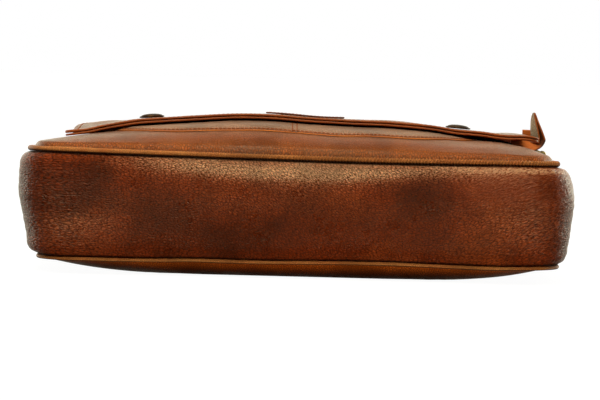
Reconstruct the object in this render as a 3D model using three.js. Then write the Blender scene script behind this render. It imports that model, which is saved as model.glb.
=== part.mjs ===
// A leather laptop bag with a front flap, lying on its back with its flap closed.
// Millimetres. +Z is up and out of the bag's front, +Y runs from the bag's bottom to its mouth.
// The origin is on the floor, under the middle of the bag.
// Shapes are worked out in bag coordinates: x across, "up" from the bottom seam to the mouth, z as above.
import * as THREE from "three";

// Driving dimensions of the body
const PANEL_WIDTH = 391; // across the front seam, near the bottom
const PANEL_HEIGHT = 288; // from the bottom seam up to the mouth
const FLARE = 10; // each side stands this much further out at the mouth
const CORNER_RADIUS = 30; // of the front seam at the two bottom corners
const DEPTH_AT_BOTTOM = 78.2; // from the back seam to the front seam
const DEPTH_AT_MOUTH = 69;
const LEAN = 1.6; // the front seam's left end stands this much higher, and its right end lower
const FRONT_SLIDE = 1.8; // the front has slid this far to the left over the back
const BACK_INSET = 2.5; // the back seam runs this far inside the front seam
const LEATHER = 2; // wall of the body
const GUSSET_BULGE = 10.4; // the gusset swells this far out between its seams
const MOUTH_BULGE = 3; // and this far at the mouth
const BELLY = 11; // the back panel sags this far below its seam, down to the floor
const EDGE_ROLL = 5; // the front panel turns up this far beside its seam
const EDGE_ROLL_LENGTH = 6; // within this distance of it
const CROWN = 19.8; // and then rises this much more to its crest
const RIGHT_FULLNESS = 3.6; // it stands this much higher beside its right end
const HOLLOW = 1.4; // and dips this much beside its middle
const WELT_RADIUS = 2.2; // the rolled edge in the front seam
const BACK_WELT_RADIUS = 1.4; // and in the back seam
const SEAM_GAP = 0.4; // between pieces that are sewn or riveted together

// Driving dimensions of the flap, which is leather outside and lining inside
const FLAP_WIDTH = 357;
const FLAP_SLIDE = 4.6; // the flap lies this far to the right
const FLAP_HEM = 57; // height of its front edge above the bottom seam
const FLAP_CORNER = 9; // radius of its two front corners
const FLAP_PLY = 1.5; // each of the two layers
const FLAP_GROOVE = 0.6; // between the two layers
const FLAP_AIR = 1.8; // between the flap and the pocket
const FLAP_DROOP = 2.7; // the hem's ends hang this much lower
const FLAP_BILLOW = 3.9; // and the flap stands this much higher behind the left one
const FLAP_TAB = 22; // length sewn to the back panel
const FLAP_NOSE = 27; // how far the control points of its bend stand out over the mouth
const FLAP_LIFT = 6.8; // the right edge rides up on the zip pull

// Driving dimensions of what the front carries
const POCKET = { width: 280, bottom: 27, top: 186, corner: 60, ply: 1.8 };
const LABEL = { width: 60, bottom: 82, height: 26, ply: 1.2 };
const SNAP = { x: 117, up: 92, capRadius: 9.6, capHeight: 3, rim: 0.9, socketRadius: 6.5, socketHeight: 0.8 };
const ZIP = { up: 205, tapeStart: -172, tapeEnd: 194.7, tapeWidth: 26, tapePly: 0.9 };
const CHAIN = { start: -166, end: 187.2, width: 6, height: 2 };
const SLIDER = { x: 192.5, length: 9, width: 10, height: 3, bevel: 0.6 };
const PULL_PLY = 1.8;

const HALF_WIDTH = PANEL_WIDTH / 2;
const PANEL_INSET = WELT_RADIUS + SEAM_GAP; // from the front seam to the front panel and to the gusset
const BACK_MARGIN = BACK_WELT_RADIUS + SEAM_GAP; // from the back seam to the back panel and to the gusset
const BACK_PANEL_INSET = BACK_INSET + BACK_MARGIN;
const POCKET_SEAT = SEAM_GAP + 0.1;
const FLAP_RISE = POCKET_SEAT + POCKET.ply + FLAP_AIR; // from the front panel to the flap's inner face
const FLAP_OUTSIDE = 2 * FLAP_PLY + FLAP_GROOVE; // from the flap's inner face to its outer face

const vector = (x, y, z) => new THREE.Vector3(x, y, z);
const { lerp, clamp, smoothstep, degToRad } = THREE.MathUtils;
const even = (n) => Array.from({ length: n + 1 }, (_, i) => i / n);
const bunched = (n) => even(n).map((t) => 0.5 - 0.5 * Math.cos(Math.PI * t)); // closer towards both ends
const between = (low, high, steps) => steps.map((t) => lerp(low, high, t));

// Closed bodies from grids and rings of points

function closedBody(points, index) {
  const geometry = new THREE.BufferGeometry().setFromPoints(points);
  geometry.setIndex(index);
  geometry.computeVertexNormals();
  return geometry;
}

function normalAt(surface, u, v, uRange, vRange) {
  const du = 1e-3 * (uRange[1] - uRange[0]);
  const dv = 1e-3 * (vRange[1] - vRange[0]);
  const u0 = Math.max(u - du, uRange[0]);
  const u1 = Math.min(u + du, uRange[1]);
  const v0 = Math.max(v - dv, vRange[0]);
  const v1 = Math.min(v + dv, vRange[1]);
  const alongU = surface(u1, v).sub(surface(u0, v));
  const alongV = surface(u, v1).sub(surface(u, v0));
  return alongU.cross(alongV).normalize();
}

// A wall over a surface: its two faces lie at the distances near and far along the surface's normal.
function sheet(surface, us, vs, near, far) {
  const columns = us.length - 1;
  const rows = vs.length - 1;
  const uRange = [us[0], us[columns]];
  const vRange = [vs[0], vs[rows]];
  const points = [];
  for (const distance of [near, far])
    for (const v of vs)
      for (const u of us) {
        const normal = normalAt(surface, u, v, uRange, vRange);
        points.push(surface(u, v).addScaledVector(normal, distance));
      }
  const at = (face, row, column) => (face * (rows + 1) + row) * (columns + 1) + column;
  const index = [];
  const quad = (a, b, c, d) => index.push(a, b, c, a, c, d);
  for (let r = 0; r < rows; r++) {
    for (let c = 0; c < columns; c++) {
      quad(at(1, r, c), at(1, r, c + 1), at(1, r + 1, c + 1), at(1, r + 1, c));
      quad(at(0, r, c), at(0, r + 1, c), at(0, r + 1, c + 1), at(0, r, c + 1));
    }
    quad(at(0, r, 0), at(1, r, 0), at(1, r + 1, 0), at(0, r + 1, 0));
    quad(at(0, r, columns), at(0, r + 1, columns), at(1, r + 1, columns), at(1, r, columns));
  }
  for (let c = 0; c < columns; c++) {
    quad(at(0, 0, c), at(0, 0, c + 1), at(1, 0, c + 1), at(1, 0, c));
    quad(at(0, rows, c + 1), at(0, rows, c), at(1, rows, c), at(1, rows, c + 1));
  }
  return closedBody(points, index);
}

// A bar through rings of equally many points. Each ring turns right-handed about the way to the next ring.
function loft(rings) {
  const sides = rings[0].length;
  const last = (rings.length - 1) * sides;
  const index = [];
  for (let r = 0; r < rings.length - 1; r++)
    for (let s = 0; s < sides; s++) {
      const a = r * sides + s;
      const b = r * sides + ((s + 1) % sides);
      index.push(a, b, b + sides, a, b + sides, a + sides);
    }
  for (let s = 1; s < sides - 1; s++) index.push(0, s + 1, s, last, last + s, last + s + 1);
  return closedBody(rings.flat(), index);
}

// The body's two seams

const BACK_SEAM_HEIGHT = BELLY;
const frontSeamHeight = (x, up) =>
  BACK_SEAM_HEIGHT + lerp(DEPTH_AT_BOTTOM, DEPTH_AT_MOUTH, up / PANEL_HEIGHT) - LEAN * (x / HALF_WIDTH);

// How much further out the sides stand at one height than at the bottom.
const flareAt = (up) => (FLARE * Math.max(0, up - CORNER_RADIUS)) / (PANEL_HEIGHT - CORNER_RADIUS);

// Half the width, at one height, of the outline that runs a given distance inside the front seam.
function outlineHalfWidth(up, inset) {
  const radius = CORNER_RADIUS - inset;
  const drop = clamp(CORNER_RADIUS - up, 0, radius);
  return SEAM_ARC_X + flareAt(up) + Math.sqrt(radius ** 2 - drop ** 2);
}

// The front seam without its flare, as a path from the left end of the mouth, round the bottom, to the right end.
const SEAM_ARC_X = HALF_WIDTH - CORNER_RADIUS;
const seamPath = new THREE.CurvePath();
const seamLine = (x0, up0, x1, up1) =>
  seamPath.add(new THREE.LineCurve(new THREE.Vector2(x0, up0), new THREE.Vector2(x1, up1)));
const seamArc = (x, from, to) => seamPath.add(new THREE.ArcCurve(x, CORNER_RADIUS, CORNER_RADIUS, from, to, false));
seamLine(-HALF_WIDTH, PANEL_HEIGHT, -HALF_WIDTH, CORNER_RADIUS);
seamArc(-SEAM_ARC_X, Math.PI, 1.5 * Math.PI);
seamLine(-SEAM_ARC_X, 0, SEAM_ARC_X, 0);
seamArc(SEAM_ARC_X, 1.5 * Math.PI, 2 * Math.PI);
seamLine(HALF_WIDTH, CORNER_RADIUS, HALF_WIDTH, PANEL_HEIGHT);

// Stations along that path, as shares of its length: so many steps on each line and arc.
function seamStations(stepsOnSide, stepsOnCorner, stepsOnBottom) {
  const steps = [stepsOnSide, stepsOnCorner, stepsOnBottom, stepsOnCorner, stepsOnSide];
  const ends = seamPath.getCurveLengths();
  const total = ends[ends.length - 1];
  const starts = [0, ...ends.slice(0, -1)];
  const stations = steps.flatMap((n, i) =>
    between(starts[i] / total, ends[i] / total, even(n).slice(0, n)),
  );
  return [...stations, 1];
}

// A point at a given distance outside the front seam, and the way out from it.
function besideSeam(station, distance) {
  const point = seamPath.getPointAt(station);
  const way = seamPath.getTangentAt(station);
  const out = vector(way.y, -way.x, 0);
  const spot = vector(point.x, point.y, 0).addScaledVector(out, distance);
  spot.x += Math.sign(spot.x) * flareAt(spot.y);
  return { out, point: spot };
}

// The rolled edge in a seam: a round bar along it.
function welt(radius, inset, slide, heightAt) {
  const SIDES = 8;
  const rings = seamStations(5, 5, 8).map((station) => {
    const { out, point } = besideSeam(station, -inset);
    point.x -= slide;
    return even(SIDES).slice(0, SIDES).map((turn) => {
      const angle = 2 * Math.PI * turn;
      const ringPoint = point.clone().addScaledVector(out, radius * Math.cos(angle));
      return ringPoint.setZ(heightAt(point.x, point.y) - radius * Math.sin(angle));
    });
  });
  return loft(rings);
}

// The body's walls

// How full the gusset is at a share of its width from back to front: it falls slowly to both sides of its crest,
// and fast beside its seams.
function gussetFullness(share) {
  const CREST = 0.6;
  const TAPER = 0.45;
  const fromCrest = share > CREST ? (share - CREST) / (1 - CREST) : (CREST - share) / CREST;
  return 1 - TAPER * fromCrest ** 1.4 - (1 - TAPER) * fromCrest ** 9;
}

// The gusset's outer face, at a station of the seam and a share of its own width from back to front.
function gussetFace(station, share) {
  const toMouth = smoothstep(seamPath.getPointAt(station).y, 2 * CORNER_RADIUS, PANEL_HEIGHT);
  const swell = lerp(GUSSET_BULGE, MOUTH_BULGE, toMouth) * gussetFullness(share);
  const { point } = besideSeam(station, lerp(-BACK_INSET, 0, share) + swell);
  point.x -= FRONT_SLIDE * share;
  const low = BACK_SEAM_HEIGHT + BACK_MARGIN;
  const high = frontSeamHeight(point.x, point.y) - PANEL_INSET;
  return point.setZ(lerp(low, high, share));
}

function gusset() {
  return sheet(gussetFace, seamStations(5, 5, 10), bunched(9), -LEATHER, 0);
}

// Distance inside the outline of the front panel, as far as the corner's radius, at a place from its middle.
function insidePanel(fromMiddle, up) {
  const overSide = Math.max(0, fromMiddle - SEAM_ARC_X - flareAt(up));
  const overBottom = Math.max(0, CORNER_RADIUS - up);
  return CORNER_RADIUS - PANEL_INSET - Math.hypot(overSide, overBottom);
}

// Height of the front panel's outer face: it rolls up beside its seam, is highest at its crest, falls a little
// towards the mouth, dips beside its middle and is fuller beside its right end.
function frontHeight(x, up) {
  const CREST = 105;
  const STEEPNESS = 4.3;
  const LOSS_AT_MOUTH = 0.45;
  const fromMiddle = Math.abs(x + FRONT_SLIDE);
  const roll = 1 - (1 - clamp(insidePanel(fromMiddle, up) / EDGE_ROLL_LENGTH, 0, 1)) ** 3;
  const across = 1 - Math.min(1, fromMiddle / outlineHalfWidth(up, PANEL_INSET)) ** 2;
  const atRight = smoothstep(x, 115, 156) * (1 - smoothstep(x, 164, 196));
  const dip = Math.exp(-(((x - 22) / 32) ** 2));
  const toCrest = (up - PANEL_INSET) / (CREST - PANEL_INSET);
  const toMouth = (up - CREST) / (PANEL_HEIGHT - CREST);
  const along = up < CREST ? 1 - (1 - toCrest) ** STEEPNESS : 1 - LOSS_AT_MOUTH * toMouth ** 2;
  const rise = CROWN * across + RIGHT_FULLNESS * atRight - HOLLOW * dip;
  return frontSeamHeight(x, up) + EDGE_ROLL * roll + rise * along;
}

// Height of the back panel's outer face: it drops from its seam and is flat where it lies on the floor.
function backHeight(x, up) {
  const DROP_LENGTH = 45;
  const FLAT_END = 170;
  const LOSS_AT_MOUTH = 0.75;
  const FULLNESS = 1.16;
  const low = up - BACK_PANEL_INSET;
  const across = 1 - Math.min(1, Math.abs(x) / outlineHalfWidth(up, BACK_PANEL_INSET)) ** 4.6;
  const toMouth = Math.max(0, (up - FLAT_END) / (PANEL_HEIGHT - FLAT_END));
  const along =
    low < DROP_LENGTH ? 1 - (1 - low / DROP_LENGTH) ** 3 : 1 - LOSS_AT_MOUTH * toMouth ** 2;
  return BACK_SEAM_HEIGHT - BELLY * Math.min(1, FULLNESS * across * along);
}

// Heights of a panel's rows: close on the rounded corners, then wider apart up to the mouth.
function panelRows(inset) {
  const corner = CORNER_RADIUS - inset;
  const onCorner = even(5).map((t) => CORNER_RADIUS - corner * Math.cos(0.5 * Math.PI * t));
  return [...onCorner, 40, 51, 64, 80, 100, 125, 155, 190, 225, 258, PANEL_HEIGHT];
}

function panel(inset, slide, heightOf, near, far) {
  const face = (share, up) => {
    const x = share * outlineHalfWidth(up, inset) - slide;
    return vector(x, up, heightOf(x, up));
  };
  return sheet(face, between(-1, 1, bunched(24)), panelRows(inset), near, far);
}

const frontPanel = () => panel(PANEL_INSET, FRONT_SLIDE, frontHeight, -LEATHER, 0);
const backPanel = () => panel(BACK_PANEL_INSET, 0, backHeight, 0, LEATHER);

// What lies on the front panel under the flap

const frontFace = (x, up) => vector(x, up, frontHeight(x, up));

// Where the bottom edge of a piece with rounded bottom corners runs, at one x.
function roundedBottom(x, halfWidth, bottom, radius) {
  const overCorner = clamp(Math.abs(x) - (halfWidth - radius), 0, radius);
  return bottom + radius - Math.sqrt(radius ** 2 - overCorner ** 2);
}

function pocket() {
  const half = POCKET.width / 2;
  const face = (share, rise) => {
    const up = lerp(roundedBottom(share * half, half, POCKET.bottom, POCKET.corner), POCKET.top, rise);
    return frontFace(share * half - FRONT_SLIDE, up);
  };
  return sheet(face, between(-1, 1, bunched(18)), even(12), POCKET_SEAT, POCKET_SEAT + POCKET.ply);
}

// The zip: a tape, and on it a chain of teeth from near its left end up to the slider.
function strip(start, end, width, near, far) {
  const rows = between(ZIP.up - width / 2, ZIP.up + width / 2, even(2));
  return sheet(frontFace, between(start, end, bunched(22)), rows, near, far);
}

const TAPE_TOP = SEAM_GAP + ZIP.tapePly;
const CHAIN_SEAT = TAPE_TOP + SEAM_GAP;
const zipTape = () => strip(ZIP.tapeStart, ZIP.tapeEnd, ZIP.tapeWidth, SEAM_GAP, TAPE_TOP);
const zipChain = () => strip(CHAIN.start, CHAIN.end, CHAIN.width, CHAIN_SEAT, CHAIN_SEAT + CHAIN.height);

// The flap

const BEND_START = PANEL_HEIGHT - 6; // of the bend over the mouth, on the front
const BEND_END = PANEL_HEIGHT + 1.5; // and on the back
const FRONT_SHARE = 0.6;
const NOSE_SHARE = 0.3;

// The flap's inner face above the front panel: clear of the pocket, low at the hem's ends, up at the right edge.
function flapClearance(x, up) {
  const half = FLAP_WIDTH / 2;
  const fromMiddle = x - FLAP_SLIDE;
  const toEnd = smoothstep(Math.abs(fromMiddle), SNAP.x + 3, half - 13);
  const behindHem = smoothstep(up, FLAP_HEM + 30, FLAP_HEM + 160);
  const billow = fromMiddle < 0 ? FLAP_BILLOW : 0;
  const lift = FLAP_LIFT * smoothstep(fromMiddle, half - 37, half);
  const awayFromMouth = 1 - smoothstep(up, ZIP.up, PANEL_HEIGHT);
  return FLAP_RISE + awayFromMouth * (toEnd * lerp(-FLAP_DROOP, billow, behindHem) + lift);
}

const flapFrontHeight = (x, up) => frontHeight(x, up) + flapClearance(x, up);
const flapBackHeight = (x, up) => backHeight(x, up) - SEAM_GAP;

// The flap's inner face at a place from its middle, from its hem (0), over the mouth, to the end of its tab (1).
function flapFace(fromMiddle, way) {
  const x = fromMiddle + FLAP_SLIDE;
  if (way <= FRONT_SHARE) {
    const hem = roundedBottom(fromMiddle, FLAP_WIDTH / 2, FLAP_HEM, FLAP_CORNER);
    const up = lerp(hem, BEND_START, way / FRONT_SHARE);
    return vector(x, up, flapFrontHeight(x, up));
  }
  const onTab = (way - FRONT_SHARE - NOSE_SHARE) / (1 - FRONT_SHARE - NOSE_SHARE);
  if (onTab >= 0) {
    const up = lerp(BEND_END, PANEL_HEIGHT - FLAP_TAB, onTab);
    return vector(x, up, flapBackHeight(x, up));
  }
  const front = vector(x, BEND_START, flapFrontHeight(x, BEND_START));
  const back = vector(x, BEND_END, flapBackHeight(x, BEND_END));
  const frontSlope = front.z - flapFrontHeight(x, BEND_START - 1);
  const backSlope = back.z - flapBackHeight(x, BEND_END - 1);
  const bend = new THREE.CubicBezierCurve3(
    front,
    front.clone().add(vector(0, FLAP_NOSE, FLAP_NOSE * frontSlope)),
    back.clone().add(vector(0, FLAP_NOSE, FLAP_NOSE * backSlope)),
    back,
  );
  return bend.getPoint((way - FRONT_SHARE) / NOSE_SHARE);
}

const flapColumns = between(-FLAP_WIDTH / 2, FLAP_WIDTH / 2, bunched(18));
const flapRows = [
  ...between(0, FRONT_SHARE, even(12)),
  ...between(FRONT_SHARE, FRONT_SHARE + NOSE_SHARE, even(10)).slice(1),
  ...between(FRONT_SHARE + NOSE_SHARE, 1, even(2)).slice(1),
];

const flapLining = () => sheet(flapFace, flapColumns, flapRows, 0, FLAP_PLY);
const flapOuter = () => sheet(flapFace, flapColumns, flapRows, FLAP_OUTSIDE - FLAP_PLY, FLAP_OUTSIDE);

const flapTop = (x, up) => vector(x, up, flapFrontHeight(x, up));

function label() {
  const columns = between(FLAP_SLIDE - LABEL.width / 2, FLAP_SLIDE + LABEL.width / 2, even(4));
  const rows = between(LABEL.bottom, LABEL.bottom + LABEL.height, even(3));
  const seat = FLAP_OUTSIDE + SEAM_GAP;
  return sheet(flapTop, columns, rows, seat, seat + LABEL.ply);
}

// Snap fasteners: a domed cap on the flap, and a plain socket on the pocket below it

function disc(profile) {
  const SIDES = 20;
  const turned = new THREE.LatheGeometry(profile.map(([x, y]) => new THREE.Vector2(x, y)), SIDES);
  return turned.rotateX(Math.PI / 2); // the axis of turning becomes +Z
}

function snapCap() {
  const dome = even(4).map((t) => {
    const angle = 0.5 * Math.PI * t;
    const height = SNAP.rim + (SNAP.capHeight - SNAP.rim) * Math.sin(angle);
    return [SNAP.capRadius * Math.cos(angle), height];
  });
  dome[dome.length - 1][0] = 0;
  return disc([[0, 0], [SNAP.capRadius - SNAP.rim / 2, 0], ...dome]);
}

function snapSocket() {
  const { socketRadius, socketHeight } = SNAP;
  return disc([[0, 0], [socketRadius, 0], [socketRadius, socketHeight], [0, socketHeight]]);
}

// The zip's slider and its leather pull

function slider() {
  const { length, width, height, bevel } = SLIDER;
  const half = width / 2 - bevel;
  const end = length / 2 - bevel;
  const shape = new THREE.Shape();
  shape.moveTo(-end, -0.6 * half);
  shape.lineTo(0, -half);
  shape.lineTo(end, -half);
  shape.lineTo(end, half);
  shape.lineTo(0, half);
  shape.lineTo(-end, 0.6 * half);
  shape.closePath();
  const options = { depth: height - 2 * bevel, bevelSize: bevel, bevelThickness: bevel, bevelSegments: 1 };
  return new THREE.ExtrudeGeometry(shape, options).translate(0, 0, bevel);
}

// A leather strip through stations. Yaw turns its width from +Y towards -X, and rise lifts the far side of it.
function ribbon(stations) {
  const STEPS = 14;
  const spine = new THREE.CatmullRomCurve3(stations.map(({ x, up, z }) => vector(x, up, z)), false, "centripetal");
  const blend = (key, t) => {
    const place = t * (stations.length - 1);
    const first = Math.min(Math.floor(place), stations.length - 2);
    return lerp(stations[first][key], stations[first + 1][key], place - first);
  };
  const rings = even(STEPS).map((t) => {
    const yaw = degToRad(blend("yaw", t));
    const rise = degToRad(blend("rise", t));
    const across = vector(-Math.sin(yaw) * Math.cos(rise), Math.cos(yaw) * Math.cos(rise), Math.sin(rise));
    const thick = spine.getTangent(t).cross(across).normalize().multiplyScalar(PULL_PLY / 2);
    across.multiplyScalar(blend("width", t) / 2);
    const middle = spine.getPoint(t);
    const corner = (side, face) => middle.clone().addScaledVector(across, side).addScaledVector(thick, face);
    return [corner(-1, -1), corner(1, -1), corner(1, 1), corner(-1, 1)];
  });
  return loft(rings);
}

// The long tail lies under the flap, passes over the slider, folds and stands up past the flap's right edge.
const LONG_TAIL = [
  { x: 172.5, up: 204, z: 98.4, width: 12, yaw: 0, rise: 5 },
  { x: 182, up: 204, z: 96, width: 12, yaw: 6, rise: 5 },
  { x: 189, up: 204, z: 94.6, width: 13, yaw: 18, rise: 3 },
  { x: 193.2, up: 204, z: 97.3, width: 14, yaw: 30, rise: 1 },
  { x: 195.6, up: 204, z: 101.2, width: 14.5, yaw: 40, rise: 0 },
  { x: 195, up: 204, z: 104.4, width: 14, yaw: 42, rise: 0 },
  { x: 192.4, up: 204, z: 112.5, width: 10, yaw: 42, rise: 0 },
  { x: 191.5, up: 204, z: 122.8, width: 3, yaw: 42, rise: 0 },
];
// The short tail stands up behind the slider.
const SHORT_TAIL = [
  { x: 190.5, up: 215.6, z: 90, width: 9, yaw: 50, rise: 0 },
  { x: 190.4, up: 215.6, z: 97, width: 9, yaw: 58, rise: 0 },
  { x: 188.9, up: 215.6, z: 104, width: 9, yaw: 65, rise: 0 },
  { x: 187.6, up: 215.6, z: 108.8, width: 6.5, yaw: 65, rise: 0 },
];

// Materials and the assembly

const finish = (color, roughness, metalness) => new THREE.MeshStandardMaterial({ color, roughness, metalness });
const leather = finish(0x6e3519, 0.45, 0);
const edgeLeather = finish(0x9a5628, 0.5, 0);
const lining = finish(0x7d4526, 0.6, 0);
const tape = finish(0x2a1a12, 0.85, 0);
const agedBrass = finish(0x4a3424, 0.4, 0.9);
const brightBrass = finish(0xb59a4e, 0.35, 0.9);

const bag = new THREE.Group();

function add(name, geometry, material) {
  const mesh = new THREE.Mesh(geometry, material);
  mesh.name = name;
  bag.add(mesh);
  return mesh;
}

// Stands a piece made on +Z upright on a surface, at a distance along the normal there.
function seat(mesh, surface, x, up, distance) {
  const REACH = 1;
  const normal = normalAt(surface, x, up, [x - REACH, x + REACH], [up - REACH, up + REACH]);
  mesh.position.copy(surface(x, up)).addScaledVector(normal, distance);
  mesh.quaternion.setFromUnitVectors(vector(0, 0, 1), normal);
}

add("back_panel", backPanel(), leather);
add("back_welt", welt(BACK_WELT_RADIUS, BACK_INSET, 0, () => BACK_SEAM_HEIGHT), edgeLeather);
add("gusset", gusset(), leather);
add("front_welt", welt(WELT_RADIUS, 0, FRONT_SLIDE, frontSeamHeight), edgeLeather);
add("front_panel", frontPanel(), leather);
add("front_pocket", pocket(), leather);
add("zip_tape", zipTape(), tape);
add("zip_chain", zipChain(), agedBrass);
seat(add("zip_slider", slider(), brightBrass), frontFace, SLIDER.x, ZIP.up, CHAIN_SEAT);
add("zip_pull_long", ribbon(LONG_TAIL), edgeLeather);
add("zip_pull_short", ribbon(SHORT_TAIL), edgeLeather);
add("flap_lining", flapLining(), lining);
add("flap", flapOuter(), leather);
add("label_patch", label(), leather);
for (const [side, x] of [["left", FLAP_SLIDE - SNAP.x], ["right", FLAP_SLIDE + SNAP.x]]) {
  seat(add(`snap_cap_${side}`, snapCap(), agedBrass), flapTop, x, SNAP.up, FLAP_OUTSIDE + SEAM_GAP);
  const socketSeat = POCKET_SEAT + POCKET.ply + SEAM_GAP;
  seat(add(`snap_socket_${side}`, snapSocket(), agedBrass), frontFace, x, SNAP.up, socketSeat);
}

// The origin goes under the middle of the bag's box.
const box = new THREE.Box3().setFromObject(bag, true);
const middle = box.getCenter(vector(0, 0, 0));
bag.position.set(-middle.x, -middle.y, -box.min.z);

const part = new THREE.Group();
part.add(bag);

export default part;
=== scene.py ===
# The looks of a leather laptop bag that lies on its back with its flap closed.
# Shapes are worked out in millimetres in bag coordinates: x across, "up" from the bottom seam to the mouth,
# z out of the bag's front. They become metres in the part's own frame when a mesh is made.
import math

import bpy
import numpy as np
from mathutils import Matrix, Vector


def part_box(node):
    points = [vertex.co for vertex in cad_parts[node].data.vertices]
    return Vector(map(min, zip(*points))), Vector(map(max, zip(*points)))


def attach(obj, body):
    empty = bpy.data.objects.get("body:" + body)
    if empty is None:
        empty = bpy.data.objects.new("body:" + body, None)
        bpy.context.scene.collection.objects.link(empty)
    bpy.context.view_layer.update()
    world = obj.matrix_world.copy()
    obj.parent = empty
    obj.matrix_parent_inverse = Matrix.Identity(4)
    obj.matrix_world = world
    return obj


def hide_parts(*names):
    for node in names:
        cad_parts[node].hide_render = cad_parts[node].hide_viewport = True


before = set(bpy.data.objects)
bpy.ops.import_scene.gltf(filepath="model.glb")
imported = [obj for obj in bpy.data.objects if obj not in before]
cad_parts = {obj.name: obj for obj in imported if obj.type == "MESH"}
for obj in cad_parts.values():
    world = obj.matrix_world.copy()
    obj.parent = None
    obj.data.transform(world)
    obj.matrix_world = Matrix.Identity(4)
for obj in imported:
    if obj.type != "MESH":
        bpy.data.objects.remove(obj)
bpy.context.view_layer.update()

# Sizes of the body, as in the part
PANEL_WIDTH = 391
PANEL_HEIGHT = 288
FLARE = 10
CORNER_RADIUS = 30
DEPTH_AT_BOTTOM = 78.2
DEPTH_AT_MOUTH = 69
LEAN = 1.6
PART_SLIDE = 1.8
BACK_INSET = 2.5
LEATHER = 2
GUSSET_BULGE = 10.4
MOUTH_BULGE = 3
BELLY = 11
EDGE_ROLL = 5
EDGE_ROLL_LENGTH = 6
CROWN = 19.8
RIGHT_FULLNESS = 3.6
HOLLOW = 1.4
WELT_RADIUS = 2.2
BACK_WELT_RADIUS = 1.4
SEAM_GAP = 0.4
HALF_WIDTH = PANEL_WIDTH / 2
SEAM_ARC_X = HALF_WIDTH - CORNER_RADIUS
PANEL_INSET = WELT_RADIUS + SEAM_GAP
BACK_MARGIN = BACK_WELT_RADIUS + SEAM_GAP
BACK_PANEL_INSET = BACK_INSET + BACK_MARGIN

# Where the body departs from the part: how far its two seams slide, the front seam's curve and its rise at
# the right, and the front welt's radius
FRONT_SLIDE = 3.2
BACK_SLIDE = -1.6
SEAM_CURVE = 0.9
RIGHT_RISE = 0.9
WELT_DRAWN = 1.9

# Sizes of the flap and of what the front carries, as in the part
FLAP_WIDTH = 357
FLAP_HALF = FLAP_WIDTH / 2
FLAP_SLIDE = 4.6
FLAP_HEM = 57
FLAP_CORNER = 9
FLAP_PLY = 1.5
FLAP_GROOVE = 0.6
FLAP_AIR = 1.8
FLAP_DROOP = 2.7
FLAP_BILLOW = 3.9
FLAP_TAB = 22
FLAP_NOSE = 27
FLAP_LIFT = 6.8
POCKET_WIDTH, POCKET_BOTTOM, POCKET_TOP, POCKET_CORNER, POCKET_PLY = 280, 27, 186, 60, 1.8
LABEL_WIDTH, LABEL_BOTTOM, LABEL_HEIGHT, LABEL_PLY = 60, 82, 26, 1.2
SNAP_X, SNAP_UP, CAP_RADIUS, CAP_HEIGHT, SOCKET_RADIUS, SOCKET_HEIGHT = 117, 92, 9.6, 3, 6.5, 0.8
ZIP_UP, TAPE_WIDTH, TAPE_PLY, TAPE_START, TAPE_END = 205, 26, 0.9, -172, 194.7
CHAIN_START, CHAIN_END = -166, 187.2
SLIDER_X = 192.5
POCKET_SEAT = SEAM_GAP + 0.1
FLAP_RISE = POCKET_SEAT + POCKET_PLY + FLAP_AIR
FLAP_OUTSIDE = 2 * FLAP_PLY + FLAP_GROOVE
TAPE_TOP = SEAM_GAP + TAPE_PLY
CHAIN_SEAT = TAPE_TOP + SEAM_GAP

# Where the flap departs from the part: its ends are drawn in, its right end lifts less and its left tip hangs
# lower
FLAP_END_SHIFT = 2.2
LESS_LIFT = 1.2
TIP_DROOP = 0.8

# The front panel's box places bag coordinates in the frame. Its middle is a little to the left of the bag's,
# and its lowest edge is one inset above the bottom seam.
panel_low, panel_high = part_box("front_panel")
ORIGIN_X = -PART_SLIDE - 500 * (panel_low.x + panel_high.x)
ORIGIN_UP = PANEL_INSET - 1000 * panel_low.y


def metres(points):
    return (np.asarray(points, float) - (ORIGIN_X, ORIGIN_UP, 0)) / 1000


# Small helpers


def lerp(a, b, t):
    return a + (b - a) * t


def smoothstep(x, low, high):
    t = np.clip((x - low) / (high - low), 0, 1)
    return t * t * (3 - 2 * t)


def bell(x, middle, width):
    return np.exp(-(((x - middle) / width) ** 2))


def bells(x, rows):
    """A sum of bells. Each row is a height, a middle and a width."""
    return sum(height * bell(x, middle, width) for height, middle, width in rows)


def xyz(x, up, z):
    return np.stack(np.broadcast_arrays(x, up, z), -1).astype(float)


def unit(vectors):
    return vectors / np.maximum(np.linalg.norm(vectors, axis=-1, keepdims=True), 1e-12)


def waves(a, b, wavelength, seed, count=10):
    """A smooth uneven field over a plane, about -1 to 1, from sine waves in seeded directions."""
    rng = np.random.default_rng(seed)
    total = 0
    for angle, phase, stretch in zip(
        rng.uniform(0, math.pi, count), rng.uniform(0, 2 * math.pi, count), rng.uniform(0.7, 1.5, count)
    ):
        k = 2 * math.pi / (wavelength * stretch)
        total = total + np.sin(k * (a * math.cos(angle) + b * math.sin(angle)) + phase)
    return total / math.sqrt(2 * count)


def steps(length, rim, fine, fine_run, coarse):
    """Distances from 0 to length: round a rim at both ends, then fine, then coarse in the middle."""
    angles = np.linspace(0, 0.5 * math.pi, 5)
    end = list(rim * (1 - np.cos(angles)))
    end += list(np.arange(rim + fine, fine_run, fine))
    end = np.array(end)
    count = max(2, round((length - 2 * end[-1]) / coarse))
    middle = np.linspace(end[-1], length - end[-1], count + 1)[1:-1]
    return np.concatenate([end, middle, length - end[::-1]])


# The body's shape


def front_seam_height(x, up):
    depth = lerp(DEPTH_AT_BOTTOM, DEPTH_AT_MOUTH, up / PANEL_HEIGHT)
    share = x / HALF_WIDTH
    return BELLY + depth - LEAN * share + SEAM_CURVE * share**2 + RIGHT_RISE * smoothstep(x, 40, 160)


BACK_RISES = ((1.9, 55, 75), (0.9, -70, 30))
BACK_END_RISE = 1.2


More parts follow.
